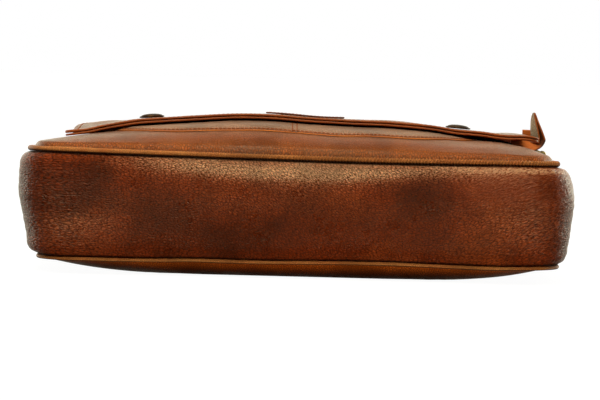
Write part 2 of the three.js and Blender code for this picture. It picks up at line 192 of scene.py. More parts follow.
def back_seam_height(x, up):
    """The back seam rises where the bag's weight pushes the back up, and only along the bottom."""
    rise = bells(x, BACK_RISES) + BACK_END_RISE * smoothstep(x, 140, 185)
    return BELLY + rise * (1 - smoothstep(up, 30, 110))


def flare_at(up):
    return FLARE * np.maximum(0, up - CORNER_RADIUS) / (PANEL_HEIGHT - CORNER_RADIUS)


def outline_half_width(up, inset):
    radius = CORNER_RADIUS - inset
    drop = np.clip(CORNER_RADIUS - up, 0, radius)
    return SEAM_ARC_X + flare_at(up) + np.sqrt(radius**2 - drop**2)


SIDE_RUN = PANEL_HEIGHT - CORNER_RADIUS
CORNER_RUN = 0.5 * math.pi * CORNER_RADIUS
BOTTOM_RUN = 2 * SEAM_ARC_X
SEAM_RUN = 2 * SIDE_RUN + 2 * CORNER_RUN + BOTTOM_RUN
LEFT_CORNER_RUN = SIDE_RUN + CORNER_RUN / 2
RIGHT_CORNER_RUN = SEAM_RUN - LEFT_CORNER_RUN


def beside_seam(run, distance):
    """x, up and the way out, at a distance outside the front seam, run along it from the mouth's left end."""
    left = np.clip((run - SIDE_RUN) / CORNER_RADIUS, 0, 0.5 * math.pi)
    right = np.clip((run - SIDE_RUN - CORNER_RUN - BOTTOM_RUN) / CORNER_RADIUS, 0, 0.5 * math.pi)
    angle = math.pi + left + right
    out_x, out_up = np.cos(angle), np.sin(angle)
    centre_x = np.clip(run - SIDE_RUN - CORNER_RUN, 0, BOTTOM_RUN) - SEAM_ARC_X
    centre_up = CORNER_RADIUS + np.maximum(0, SIDE_RUN - run) + np.maximum(0, run - SEAM_RUN + SIDE_RUN)
    radius = CORNER_RADIUS + distance
    x, up = centre_x + radius * out_x, centre_up + radius * out_up
    return x + np.sign(x) * flare_at(up), up, out_x, out_up


def corner_share(run):
    """1 at the two bottom corners of the gusset, fading along it to both sides."""
    return bells(run, ((1, LEFT_CORNER_RUN, 58), (1, RIGHT_CORNER_RUN, 62)))


# The gusset between its seams, and the leather turned in at each edge
GUSSET_WIDTH = 74
ALLOWANCE = 9
# Each dent has a height, a stretch, a wavelength and a seed. Shoulders at the front and heels at the back
# have a height, a place along the seam and a width.
DENTS = ((0.8, 1.6, 130, 3), (0.4, 1.4, 48, 4))
CREASE_HEIGHT = 0.22
SHOULDERS = ((1.4, LEFT_CORNER_RUN - 40, 60), (3.4, RIGHT_CORNER_RUN + 40, 60))
HEELS = ((2.8, LEFT_CORNER_RUN - 35, 55), (1.4, RIGHT_CORNER_RUN + 35, 55))


def gusset_fullness(share):
    """How full the gusset is at a share of its width: most above its middle, and little beside its seams."""
    crest, taper = 0.6, 0.45
    from_crest = np.where(share > crest, (share - crest) / (1 - crest), (crest - share) / crest)
    return 1 - taper * from_crest**1.4 - (1 - taper) * from_crest**9


def gusset_relief(run, share):
    """How far the soft gusset stands out of its plain swell: dents, creases, shoulders and heels."""
    across = GUSSET_WIDTH * share
    free = 1 - np.abs(2 * share - 1) ** 6
    dents = sum(high * waves(run, stretch * across, length, seed) for high, stretch, length, seed in DENTS)
    lean = 0.35 * smoothstep(run, 560, 640) - 0.06
    creases = waves(0.14 * run, across - lean * run, 6.5, 5, 14) * corner_share(run) * CREASE_HEIGHT
    near_front = smoothstep(share, 0.3, 0.955) * (1 - smoothstep(share, 0.98, 1))
    near_back = smoothstep(share, 0, 0.04) * (1 - smoothstep(share, 0.04, 0.2))
    return free * (dents + creases) + bells(run, SHOULDERS) * near_front + bells(run, HEELS) * near_back


def gusset_face(run, way):
    """Way runs from the back seam to the front seam. Beyond them the leather is turned in."""
    _, seam_up, _, _ = beside_seam(run, 0)
    share = np.clip(way / GUSSET_WIDTH, 0, 1)
    turned_in = np.maximum(0, way - GUSSET_WIDTH) + np.maximum(0, -way)
    to_mouth = smoothstep(seam_up, 2 * CORNER_RADIUS, PANEL_HEIGHT)
    swell = lerp(GUSSET_BULGE, MOUTH_BULGE, to_mouth) * gusset_fullness(share)
    out = lerp(-BACK_INSET, 0, share) + swell + gusset_relief(run, share) - turned_in
    x, up, _, _ = beside_seam(run, out)
    x = x - lerp(BACK_SLIDE, FRONT_SLIDE, share)
    low = back_seam_height(x, up) + BACK_MARGIN + 0.5 * smoothstep(-way, 0, 3)
    high = front_seam_height(x, up) - WELT_DRAWN - SEAM_GAP + 1.1 * smoothstep(way - GUSSET_WIDTH, 1, 6)
    return xyz(x, up, lerp(low, high, share))


def inside_panel(from_middle, up):
    over_side = np.maximum(0, from_middle - SEAM_ARC_X - flare_at(up))
    over_bottom = np.maximum(0, CORNER_RADIUS - up)
    return CORNER_RADIUS - PANEL_INSET - np.hypot(over_side, over_bottom)


def front_height(x, up):
    crest, steepness, loss_at_mouth = 105, 4.3, 0.45
    from_middle = np.abs(x + FRONT_SLIDE)
    inside = inside_panel(from_middle, up)
    roll = 1 - (1 - np.clip(inside / EDGE_ROLL_LENGTH, 0, 1)) ** 3
    across = 1 - np.minimum(1, from_middle / outline_half_width(up, PANEL_INSET)) ** 2
    at_right = smoothstep(x, 115, 156) * (1 - smoothstep(x, 164, 196))
    to_crest = np.clip((up - PANEL_INSET) / (crest - PANEL_INSET), 0, 1)
    to_mouth = np.clip((up - crest) / (PANEL_HEIGHT - crest), 0, None)
    along = 1 - (1 - to_crest) ** steepness - loss_at_mouth * to_mouth**2
    rise = CROWN * across + RIGHT_FULLNESS * at_right - HOLLOW * bell(x, 22, 32)
    dents = 0.45 * waves(x, up, 95, 11) + 0.22 * waves(x, up, 38, 12)
    soft = smoothstep(inside, 2, 22)
    return front_seam_height(x, up) + EDGE_ROLL * roll + rise * along + dents * soft


def back_height(x, up):
    drop_length, flat_end, loss_at_mouth, fullness = 45, 170, 0.75, 1.16
    low = np.clip((up - BACK_PANEL_INSET) / drop_length, 0, 1)
    across = 1 - np.minimum(1, np.abs(x) / outline_half_width(up, BACK_PANEL_INSET)) ** 4.6
    to_mouth = np.clip((up - flat_end) / (PANEL_HEIGHT - flat_end), 0, None)
    along = 1 - (1 - low) ** 3 - loss_at_mouth * to_mouth**2
    return back_seam_height(x, up) * (1 - np.minimum(1, fullness * across * along))


# The flap's shape

BEND_START = PANEL_HEIGHT - 6
BEND_END = PANEL_HEIGHT + 1.5
FRONT_SHARE = 0.6
NOSE_SHARE = 0.3
TAB_SHARE = 1 - FRONT_SHARE - NOSE_SHARE


def rounded_bottom(x, half_width, bottom, radius):
    over_corner = np.clip(np.abs(x) - (half_width - radius), 0, radius)
    return bottom + radius - np.sqrt(radius**2 - over_corner**2)


def inside_rounded(x, up, half_width, bottom, radius):
    """Distance inside an outline with two rounded bottom corners."""
    over_side = np.abs(x) - (half_width - radius)
    over_bottom = bottom + radius - up
    on_corner = (over_side > 0) & (over_bottom > 0)
    plain = np.minimum(half_width - np.abs(x), up - bottom)
    return np.where(on_corner, radius - np.hypot(over_side, over_bottom), plain)


def flap_clearance(x, up):
    from_middle = x - FLAP_SLIDE
    to_end = smoothstep(np.abs(from_middle), SNAP_X + 3, FLAP_HALF - 13)
    behind_hem = smoothstep(up, FLAP_HEM + 30, FLAP_HEM + 160)
    billow = np.where(from_middle < 0, FLAP_BILLOW, 0)
    lift = (FLAP_LIFT - LESS_LIFT) * smoothstep(from_middle, FLAP_HALF - 37, FLAP_HALF)
    away_from_mouth = 1 - smoothstep(up, ZIP_UP, PANEL_HEIGHT)
    droop = TIP_DROOP * (1 - smoothstep(from_middle, -166, -150)) * (1 - behind_hem)
    return FLAP_RISE + away_from_mouth * (to_end * lerp(-FLAP_DROOP, billow, behind_hem) + lift - droop)


def flap_front_height(x, up):
    soft = smoothstep(up, FLAP_HEM + 5, FLAP_HEM + 60) * (1 - smoothstep(up, 230, BEND_START))
    return front_height(x, up) + flap_clearance(x, up) + 0.5 * soft * waves(x, up, 70, 21)


def flap_back_height(x, up):
    return back_height(x, up) - SEAM_GAP


def flap_face(from_middle, way):
    x = from_middle + FLAP_SLIDE - FLAP_END_SHIFT * smoothstep(np.abs(from_middle), 140, FLAP_HALF)
    hem = rounded_bottom(from_middle, FLAP_HALF, FLAP_HEM, FLAP_CORNER)
    up = lerp(hem, BEND_START, np.minimum(1, way / FRONT_SHARE))
    on_front = xyz(x, up, flap_front_height(x, up))
    up = lerp(BEND_END, PANEL_HEIGHT - FLAP_TAB, np.clip((way - 1 + TAB_SHARE) / TAB_SHARE, 0, 1))
    on_tab = xyz(x, up, flap_back_height(x, up))
    start, end = flap_front_height(x, BEND_START), flap_back_height(x, BEND_END)
    start_slope = start - flap_front_height(x, BEND_START - 1)
    end_slope = end - flap_back_height(x, BEND_END - 1)
    corners = [
        xyz(x, BEND_START, start),
        xyz(x, BEND_START + FLAP_NOSE, start + FLAP_NOSE * start_slope),
        xyz(x, BEND_END + FLAP_NOSE, end + FLAP_NOSE * end_slope),
        xyz(x, BEND_END, end),
    ]
    t = np.clip((way - FRONT_SHARE) / NOSE_SHARE, 0, 1)[..., None]
    weights = [(1 - t) ** 3, 3 * t * (1 - t) ** 2, 3 * t**2 * (1 - t), t**3]
    on_nose = sum(w * c for w, c in zip(weights, corners))
    way = way[..., None]
    return np.where(way <= FRONT_SHARE, on_front, np.where(way >= 1 - TAB_SHARE, on_tab, on_nose))


def inside_flap(from_middle, way):
    up = flap_face(from_middle, way)[..., 1]
    front = inside_rounded(from_middle, up, FLAP_HALF, FLAP_HEM, FLAP_CORNER)
    to_tab_end = (1 - way) / TAB_SHARE * (BEND_END - PANEL_HEIGHT + FLAP_TAB)
    elsewhere = np.minimum(FLAP_HALF - np.abs(from_middle), to_tab_end)
    return np.where(way <= FRONT_SHARE, front, elsewhere)


def front_face(x, up):
    return xyz(x, up, front_height(x, up))


def flap_top(x, up):
    return xyz(x, up, flap_front_height(x, up))


# Materials


class Tree:
    """The nodes of a material or a world. Inputs that are sockets are linked, and others are set."""

    def __init__(self, owner):
        owner.use_nodes = True
        self.owner, self.nodes, self.links = owner, owner.node_tree.nodes, owner.node_tree.links
        self.nodes.clear()

    def add(self, kind, output=0, settings=(), **inputs):
        node = self.nodes.new("ShaderNode" + kind)
        for name, value in dict(settings).items():
            setattr(node, name, value)
        for name, value in inputs.items():
            index = int(name[1:]) if name[0] == "i" and name[1:].isdigit() else name.replace("_", " ")
            socket = node.inputs[index]
            if isinstance(value, bpy.types.NodeSocket):
                self.links.new(value, socket)
            else:
                socket.default_value = value
        return node.outputs[output]

    def show(self, kind, shader):
        self.links.new(shader, self.nodes.new("ShaderNodeOutput" + kind).inputs["Surface"])

    def math(self, operation, a, b=0.0):
        return self.add("Math", settings={"operation": operation}, i0=a, i1=b)

    def vector(self, operation, a, **other):
        return self.add("VectorMath", settings={"operation": operation}, i0=a, **other)

    def times(self, a, b):
        return self.math("MULTIPLY", a, b)

    def plus(self, a, b, weight):
        """a, and b times a weight."""
        return self.math("ADD", a, self.times(b, weight))

    def mark(self, name):
        """A named value of the mesh's points, or 0 where the mesh has none."""
        return self.add("Attribute", 2, {"attribute_name": name})

    def spread(self, value, low, high, to_low=0.0, to_high=1.0):
        settings = {"interpolation_type": "SMOOTHSTEP"}
        return self.add("MapRange", settings=settings, i0=value, i1=low, i2=high, i3=to_low, i4=to_high)

    def mix(self, share, a, b, blend="MIX"):
        settings = {"data_type": "RGBA", "blend_type": blend}
        return self.add("Mix", 2, settings, i0=share, i6=a, i7=b)

    def noise(self, vector, scale, detail=2.0, roughness=0.5, output=0):
        return self.add("TexNoise", output, Vector=vector, Scale=scale, Detail=detail, Roughness=roughness)

    def streaks(self, cut, along, across, detail, distortion=0.0):
        """Noise on the flat leather that is finer one way than the other."""
        vector = self.add("Mapping", Vector=cut, Scale=(along, across, 1.0))
        flat = {"noise_dimensions": "2D"}
        return self.add("TexNoise", 0, flat, Vector=vector, Scale=1.0, Detail=detail, Distortion=distortion)

    def bump(self, height, millimetres, strength=1.0):
        return self.add("Bump", Height=height, Strength=strength, Distance=millimetres / 1000)

    def finish(self, **inputs):
        self.show("Material", self.add("BsdfPrincipled", **inputs))
        return self.owner


def rgb(*channels):
    return (*channels, 1.0)


def start(name):
    """A new material's nodes, and the place in the part's own frame."""
    tree = Tree(bpy.data.materials.new(name))
    return tree, tree.add("TexCoord", 3)


def flat_place(tree):
    return tree.add("UVMap", settings={"uv_map": "grain"})


# Painted shade: the colour that the dark mark mixes in, in the grooves beside the seams, under the welts and
# in their folds, and inside the pull's loop
PAINTED_SHADE = rgb(0.012, 0.003, 0.001)
# Colours of a painted sheen: pale highlight colours painted onto the leather, and a reddish one where it is
# thin
PALE_PAINTED_SHEEN = rgb(0.62, 0.38, 0.24)
WARM_PAINTED_SHEEN = rgb(0.78, 0.42, 0.22)
THIN_PAINTED_SHEEN = rgb(0.6, 0.13, 0.035)
# Weights of the leather's relief, and of its tone
PEBBLE, GRIT, FINE, DASH, RIDGE, FOLD = 0.55, 0.3, 0.1, 0.45, 0.3, 1.6
PATCH, MOTTLE, STAIN = 0.62, 0.38, 0.12
# Painted shade: its colour is darker in the hollows of the grain. Smooth places have one shade.
SHADING, LEAST_SHADE, EVEN_SHADE = 1.5, 0.22, 0.85


def pebbles(tree, cut, grain):
    """Relief of pebbles of a size in millimetres, with grit between them."""
    shift = tree.vector("SUBTRACT", tree.noise(cut, 260.0, output=1), i1=(0.5, 0.5, 0.5))
    warped = tree.vector("ADD", cut, i1=tree.vector("SCALE", shift, i3=0.0024))
    cells = {"feature": "DISTANCE_TO_EDGE", "voronoi_dimensions": "2D"}
    big, small = (tree.add("TexVoronoi", 0, cells, Vector=warped, Scale=s / grain) for s in (1000, 1700))
    height = tree.plus(tree.times(tree.spread(big, 0.0, 0.38), PEBBLE), tree.spread(small, 0.0, 0.3), GRIT)
    return tree.plus(height, tree.noise(cut, 2600.0), FINE)


def leather(
    name, dark, mid, light, grain=2.0, depth=0.5, gloss=(0.32, 0.46), shine=0.3, sheen=0.0, patches=8.0,
    painted_sheen_colour=WARM_PAINTED_SHEEN, creased=False,
):
    """Pebbled leather. Grain is the pebbles' size and depth their height, in millimetres. Gloss is its least
    and most roughness. All of it takes a mark of painted sheen, a mark of wear and a mark of painted shade,
    and creased leather four more."""
    tree, place = start(name)
    cut = flat_place(tree)
    patch = tree.noise(place, patches, 3.0, 0.55)
    mottle = tree.noise(place, 42.0, 4.0, 0.62)
    firm = tree.spread(tree.noise(place, 26.0), 0.32, 0.62, 0.5, 1.0)
    height = tree.times(pebbles(tree, cut, grain), firm)
    tone = tree.plus(tree.times(patch, PATCH), mottle, MOTTLE)
    if creased:
        tone = tree.plus(tone, tree.mark("stain"), STAIN)
    colour = tree.mix(tree.spread(tone, 0.34, 0.5), dark, mid)
    colour = tree.mix(tree.spread(tone, 0.5, 0.68), colour, light)
    # Painted sheen: this mark lightens the colour towards a pale highlight colour. On creased leather it
    # breaks into short dashes, painted glints.
    painted_sheen = tree.mark("painted_sheen")
    if creased:
        dashes = tree.streaks(cut, 800.0, 1500.0, 2.0, 0.6)
        glint_cover = tree.spread(tree.plus(dashes, painted_sheen, 0.22), 0.46, 0.7)
        painted_sheen = tree.times(glint_cover, tree.spread(painted_sheen, 0.0, 0.8, 0.0, 0.95))
        height = tree.plus(height, tree.spread(dashes, 0.3, 0.7), DASH)
    colour = tree.mix(painted_sheen, colour, tree.mix(painted_sheen, THIN_PAINTED_SHEEN, painted_sheen_colour))
    shade = tree.plus(0.0 if creased else LEAST_SHADE, height, SHADING)
    if creased:
        even = tree.mark("even")
        uneven = tree.math("SUBTRACT", 1.0, even)
        shade = tree.plus(tree.times(shade, uneven), even, EVEN_SHADE)
        lines = tree.streaks(cut, 70.0, 330.0, 3.0, 0.5)
        ridge = tree.spread(tree.math("ABSOLUTE", tree.math("SUBTRACT", lines, 0.5)), 0.0, 0.16)
        folds = tree.streaks(cut, 460.0, 60.0, 1.0)
        height = tree.plus(tree.times(height, uneven), tree.times(ridge, tree.mark("crease")), RIDGE)
        height = tree.plus(height, tree.times(folds, tree.mark("pucker")), FOLD)
    colour = tree.mix(tree.times(tree.mark("wear"), tree.spread(mottle, 0.3, 0.6)), colour, light)
    grey = tree.add("CombineColor", i0=shade, i1=shade, i2=shade)
    colour = tree.mix(1.0, colour, grey, "MULTIPLY")
    return tree.finish(
        # painted shade where the dark mark is set
        Base_Color=tree.mix(tree.mark("dark"), colour, PAINTED_SHADE),
        Roughness=tree.spread(mottle, 0.35, 0.65, *gloss),
        Normal=tree.bump(height, depth),
        Specular_IOR_Level=shine,
        Specular_Tint=rgb(1.0, 0.8, 0.56),
        Sheen_Weight=sheen,
        Sheen_Roughness=0.35,
        Sheen_Tint=rgb(1.0, 0.9, 0.78),
    )


def plain_leather(name, dark, light, rough=(0.45, 0.62), depth=0.12, scale=900.0):
    """Cut, burnished or flesh-side leather: short fibres and no pebbles."""
    tree, place = start(name)
    fibre = tree.noise(place, scale, 4.0, 0.65)
    patch = tree.noise(place, 55.0, 3.0, 0.6)
    tone = tree.plus(tree.times(fibre, 0.45), patch, 0.55)
    colour = tree.mix(tree.spread(tone, 0.34, 0.66), dark, light)
    # Painted shade where the dark mark is set
    colour = tree.mix(tree.mark("dark"), colour, PAINTED_SHADE)
    roughness = tree.spread(patch, 0.3, 0.7, *rough)
    normal = tree.bump(fibre, depth)
    return tree.finish(Base_Color=colour, Roughness=roughness, Normal=normal, Specular_IOR_Level=0.35)


def brass(name, dark, light, rough):
    tree, place = start(name)
    patch = tree.noise(place, 260.0, 4.0, 0.6)
    scratch = tree.noise(tree.add("Mapping", Vector=place, Scale=(900.0, 5200.0, 900.0)), 1.0)
    colour = tree.mix(tree.spread(patch, 0.35, 0.68), dark, light)
    roughness = tree.spread(patch, 0.3, 0.7, *rough)
    normal = tree.bump(scratch, 0.05, 0.5)
    return tree.finish(Base_Color=colour, Roughness=roughness, Normal=normal, Metallic=0.85)


def woven(name, dark, light, pitch):
    """Twill: an upright and a slanting set of threads. An upright thread and the gap beside it are a pitch
    wide each, in millimetres."""
    tree, _ = start(name)
    inputs = {"Vector": flat_place(tree), "Scale": 1000 / pitch / 20 * 3.1416, "Distortion": 0.3}
    warp, weft = (tree.add("TexWave", 1, {"bands_direction": way}, **inputs) for way in ("X", "DIAGONAL"))
    height = tree.times(warp, weft)
    colour = tree.mix(height, dark, light)
    normal = tree.bump(height, 0.2, 0.8)
    return tree.finish(Base_Color=colour, Roughness=0.85, Normal=normal, Specular_IOR_Level=0.2)


def thread(name, dark, light):
    tree, place = start(name)
    twist = tree.noise(place, 3000.0)
    colour = tree.mix(tree.spread(twist, 0.35, 0.65), dark, light)
    normal = tree.bump(twist, 0.1, 0.6)
    return tree.finish(Base_Color=colour, Roughness=0.6, Normal=normal, Specular_IOR_Level=0.3)


DEEP_BROWN = rgb(0.05, 0.01, 0.002)
DARK_BROWN = rgb(0.15, 0.03, 0.004)
MID_BROWN = rgb(0.27, 0.054, 0.007)
DIM_BROWN = rgb(0.3, 0.06, 0.008)
RED_BROWN = rgb(0.35, 0.072, 0.0095)
ORANGE_BROWN = rgb(0.47, 0.112, 0.016)
ORANGE = rgb(0.8, 0.24, 0.03)
BROWNS = (DIM_BROWN, RED_BROWN, ORANGE_BROWN)
GUSSET_BROWNS = (rgb(0.14, 0.017, 0.0018), rgb(0.24, 0.029, 0.0033), rgb(0.35, 0.052, 0.0062))
BACK_REDS = (rgb(0.5, 0.08, 0.01), rgb(0.62, 0.11, 0.012), rgb(0.66, 0.13, 0.016))
WELT_ORANGES = (ORANGE_BROWN, rgb(0.66, 0.19, 0.036), rgb(0.76, 0.29, 0.08))
# The pull's grain side: pale tans, partly its own colour and partly a painted reflection of the bright
# surroundings at a grazing angle
PULL_TANS_AND_PAINTED_SHEEN = (rgb(0.3, 0.2, 0.11), rgb(0.5, 0.38, 0.25), rgb(0.62, 0.5, 0.36))

GUSSET_LEATHER = leather(
    "gusset_leather", *GUSSET_BROWNS, depth=1.1, gloss=(0.27, 0.38), shine=0.34, patches=16.0, creased=True
)
PANEL_LEATHER = leather(
    "panel_leather", *BROWNS, 1.7, 0.32, (0.3, 0.42), sheen=0.6, painted_sheen_colour=PALE_PAINTED_SHEEN
)
FLAP_LEATHER = leather("flap_leather", *BROWNS, 1.6, 0.25, (0.3, 0.42), shine=0.5, sheen=0.6, patches=20.0)
BACK_LEATHER = leather("back_leather", *BACK_REDS, grain=1.7, depth=0.3, shine=0.05)
LABEL_LEATHER = leather("label_leather", DEEP_BROWN, DARK_BROWN, DARK_BROWN, grain=1.3, depth=0.12)
WELT_LEATHER = leather("welt_leather", *WELT_ORANGES, grain=1.1, depth=0.18, shine=0.15, patches=30.0)
PULL_LEATHER = leather("pull_leather", *PULL_TANS_AND_PAINTED_SHEEN, grain=1.4, depth=0.12, patches=60.0)
EDGE = plain_leather("cut_edge", RED_BROWN, ORANGE_BROWN)
# A lighter copy of the cut edge: painted light on the rims of the pocket and of the short tail
PAINTED_LIGHT_EDGE = plain_leather("painted_light_edge", ORANGE_BROWN, ORANGE)
DARK_EDGE = plain_leather("burnished_edge", DEEP_BROWN, MID_BROWN, rough=(0.35, 0.5))
FLESH = plain_leather("flesh_side", rgb(0.2, 0.06, 0.016), rgb(0.33, 0.11, 0.03), (0.75, 0.9), 0.25)
RAW_LEATHER = plain_leather("raw_side", rgb(0.42, 0.09, 0.012), rgb(0.66, 0.16, 0.02), rough=(0.6, 0.75))
LINING_LEATHER = plain_leather("lining_leather", RED_BROWN, ORANGE_BROWN, rough=(0.5, 0.65), scale=500.0)
THREAD = thread("thread", RED_BROWN, ORANGE_BROWN)
AGED_BRASS = brass("aged_brass", rgb(0.03, 0.014, 0.006), rgb(0.12, 0.055, 0.02), (0.38, 0.55))
BRIGHT_BRASS = brass("bright_brass", rgb(0.3, 0.2, 0.05), rgb(0.75, 0.56, 0.18), (0.22, 0.4))
TAPE = woven("zip_tape", rgb(0.006, 0.004, 0.003), rgb(0.035, 0.02, 0.012), 0.9)


# Meshes


def make_piece(name, points, faces, materials, kinds=None, cut=None, marks=(), replaces=(), slot=None):
    """A piece from points in bag millimetres and faces of three or four corners. Kinds are the faces'
    materials, cut is each point's place on the flat leather in metres, and marks are each point's values."""
    mesh = bpy.data.meshes.new(name)
    faces = [np.asarray(f, np.int32) for f in faces]
    sizes = np.concatenate([np.full(len(f), f.shape[1], np.int32) for f in faces])
    corners = np.concatenate([f.ravel() for f in faces])
    mesh.vertices.add(len(points))
    mesh.vertices.foreach_set("co", metres(points).astype(np.float32).ravel())
    mesh.loops.add(len(corners))
    mesh.loops.foreach_set("vertex_index", corners)
    mesh.polygons.add(len(sizes))
    mesh.polygons.foreach_set("loop_start", np.concatenate([[0], np.cumsum(sizes)[:-1]]).astype(np.int32))
    if kinds is not None:
        mesh.polygons.foreach_set("material_index", np.asarray(kinds, np.int32))
    mesh.update(calc_edges=True)
    mesh.validate()
    mesh.shade_smooth()
    if cut is not None:
        layer = mesh.uv_layers.new(name="grain")
        layer.data.foreach_set("uv", np.asarray(cut, np.float32)[corners].ravel())
    for mark, values in dict(marks).items():
        attribute = mesh.attributes.new(mark, "FLOAT", "POINT")
        attribute.data.foreach_set("value", np.asarray(values, np.float32))
    for material in materials:
        mesh.materials.append(material)
    piece = bpy.data.objects.new(name, mesh)
    bpy.context.scene.collection.objects.link(piece)
    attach(piece, "root")
    if replaces:
        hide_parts(*replaces)
    return piece


def normals_of(surface, u, v, u_range, v_range):
    du = 4e-4 * (u_range[1] - u_range[0])
    dv = 4e-4 * (v_range[1] - v_range[0])
    u0, u1 = np.maximum(u - du, u_range[0]), np.minimum(u + du, u_range[1])
    v0, v1 = np.maximum(v - dv, v_range[0]), np.minimum(v + dv, v_range[1])
    along_u = surface(u1, v) - surface(u0, v)
    along_v = surface(u, v1) - surface(u, v0)
    return unit(np.cross(along_u, along_v))


def edge_distance(points):
    """Distance along the grid from each point to the nearest of its four edges."""
    along = np.cumsum(np.linalg.norm(np.diff(points, axis=1), axis=2), axis=1)
    along = np.concatenate([np.zeros_like(along[:, :1]), along], axis=1)
    across = np.cumsum(np.linalg.norm(np.diff(points, axis=0), axis=2), axis=0)
    across = np.concatenate([np.zeros_like(across[:1]), across], axis=0)
    return np.minimum(np.minimum(along, along[:, -1:] - along), np.minimum(across, across[-1:] - across))


def wall(
    name, surface, us, vs, near, far, materials, inside=None, relief=None, cut=None, marks=(), pared=None,
    **declared,
):
    """A closed wall with round rims. Its faces lie at near and far along the surface's normal. The three
    materials are its outer face's, its inner face's and its rim's. Inside is the distance from the rim,
    relief raises the outer face, and pared is the share of the ply left at a distance inside."""
    u, v = np.meshgrid(np.asarray(us, float), np.asarray(vs, float))
    base = surface(u, v)
    normal = normals_of(surface, u, v, (us[0], us[-1]), (vs[0], vs[-1]))
    distance = edge_distance(base) if inside is None else inside(u, v)
    rows, columns = distance.shape
    on_rim = np.zeros((rows, columns), bool)
    on_rim[[0, -1], :] = True
    on_rim[:, [0, -1]] = True
    distance = np.where(on_rim, 0, np.maximum(distance, 0))
    rim = (far - near) / 2
    round_rim = np.sqrt(1 - (1 - np.clip(distance / rim, 0, 1)) ** 2)
    half_ply = rim * (np.ones_like(distance) if pared is None else pared(distance))
    middle = base + normal * (near + half_ply)[..., None]
    half = normal * (half_ply * round_rim)[..., None]
    outer, inner = middle + half, middle - half
    if relief is not None:
        outer = outer + normal * (relief(u, v) * round_rim)[..., None]
    count = rows * columns
    front = np.arange(count).reshape(rows, columns)
    back = front.copy()
    back[~on_rim] = count + np.arange((~on_rim).sum())
    points = np.concatenate([outer.reshape(-1, 3), inner[~on_rim]])

    def quads(index):
        return np.stack([index[:-1, :-1], index[:-1, 1:], index[1:, 1:], index[1:, :-1]], -1).reshape(-1, 4)

    faces = np.concatenate([quads(front), quads(back)[:, ::-1]])
    cell_distance = (distance[:-1, :-1] + distance[1:, 1:] + distance[:-1, 1:] + distance[1:, :-1]) / 4
    at_rim = cell_distance.ravel() < 0.8 * rim
    kinds = np.concatenate([np.where(at_rim, 2, 0), np.where(at_rim, 2, 1)])
    if cut is None:
        cut_u, cut_v = base[..., 0], base[..., 1]
    else:
        cut_u, cut_v = cut(u, v)
    flat = np.stack([cut_u, cut_v], -1) / 1000
    flat = np.concatenate([flat.reshape(-1, 2), flat[~on_rim]])
    marked = {}
    for mark, of in dict(marks).items():
        value = np.broadcast_to(of(u, v), u.shape)
        marked[mark] = np.concatenate([value.ravel(), value[~on_rim]])
    return make_piece(name, points, [faces], materials, kinds, flat, marked, **declared)


def tube(count, sides):
    """Indices of the points of a tube of rings, of the next point round each ring, and the tube's faces."""
    index = np.arange(count * sides).reshape(count, sides)
    following = np.roll(index, -1, axis=1)
    faces = np.stack([index[:-1], following[:-1], following[1:], index[1:]], -1).reshape(-1, 4)
    return index, following, faces


def pointed_tube(count, sides):
    """Faces of a tube of rings that is closed at each end round one more point."""
    index, following, faces = tube(count, sides)
    first = np.stack([np.full(sides, index.size), following[0], index[0]], -1)
    last = np.stack([np.full(sides, index.size + 1), index[-1], following[-1]], -1)
    return [faces, first, last]


def bar(name, rings, materials, cut=None, marks=(), **declared):
    """A solid bar through rings of equally many points, with flat ends."""
    points = np.concatenate([rings.reshape(-1, 3), rings[[0, -1]].mean(axis=1)])
    if cut is None:
        cut = np.zeros((*rings.shape[:2], 2))
    flat = np.concatenate([cut.reshape(-1, 2), cut[[0, -1], 0]]) / 1000
    marked = {m: np.concatenate([v.ravel(), v[[0, -1], 0]]) for m, v in dict(marks).items()}
    return make_piece(name, points, pointed_tube(*rings.shape[:2]), materials, None, flat, marked, **declared)


def turned(name, profile, sides, place, normal, material, **declared):
    """A turned piece. The profile's rows are radius and height, and it starts and ends on the axis."""
    profile = np.asarray(profile, float)
    side = unit(np.cross(normal, (0, 1, 0)))
    other = np.cross(normal, side)
    angles = np.linspace(0, 2 * math.pi, sides, endpoint=False)
    round_way = np.cos(angles)[:, None] * side + np.sin(angles)[:, None] * other
    rings = place + profile[1:-1, None, :1] * round_way + profile[1:-1, None, 1:] * normal
    poles = [place + profile[0, 1] * normal, place + profile[-1, 1] * normal]
    points = np.concatenate([rings.reshape(-1, 3), poles])
    return make_piece(name, points, pointed_tube(len(rings), sides), [material], **declared)


def many(name, bodies, material, flip=False, **declared):
    """One piece from many small bodies, each made of rings of equally many points, with flat ends."""
    bodies = np.array(bodies)
    index, _, sides = tube(*bodies.shape[1:3])
    low, high = index[0], index[-1]
    corners = range(1, len(low) - 1)
    ends = [(low[0], low[k + 1], low[k]) for k in corners]
    ends += [(high[0], high[k], high[k + 1]) for k in corners]
    starts = index.size * np.arange(len(bodies))[:, None, None]
    faces = []
    for kind in (sides, np.array(ends)):
        kind = kind[:, ::-1] if flip else kind
        faces.append((kind + starts).reshape(-1, kind.shape[1]))
    return make_piece(name, bodies.reshape(-1, 3), faces, [material], **declared)


# A stitch's rings: their place along it, their thickness and their height
STITCH_SHAPE = ((-0.5, 0.3, -0.3), (-0.36, 0.8, 0.02), (0.0, 1.0, 0.14), (0.36, 0.8, 0.02), (0.5, 0.3, -0.3))
STITCH_SIDES = 6


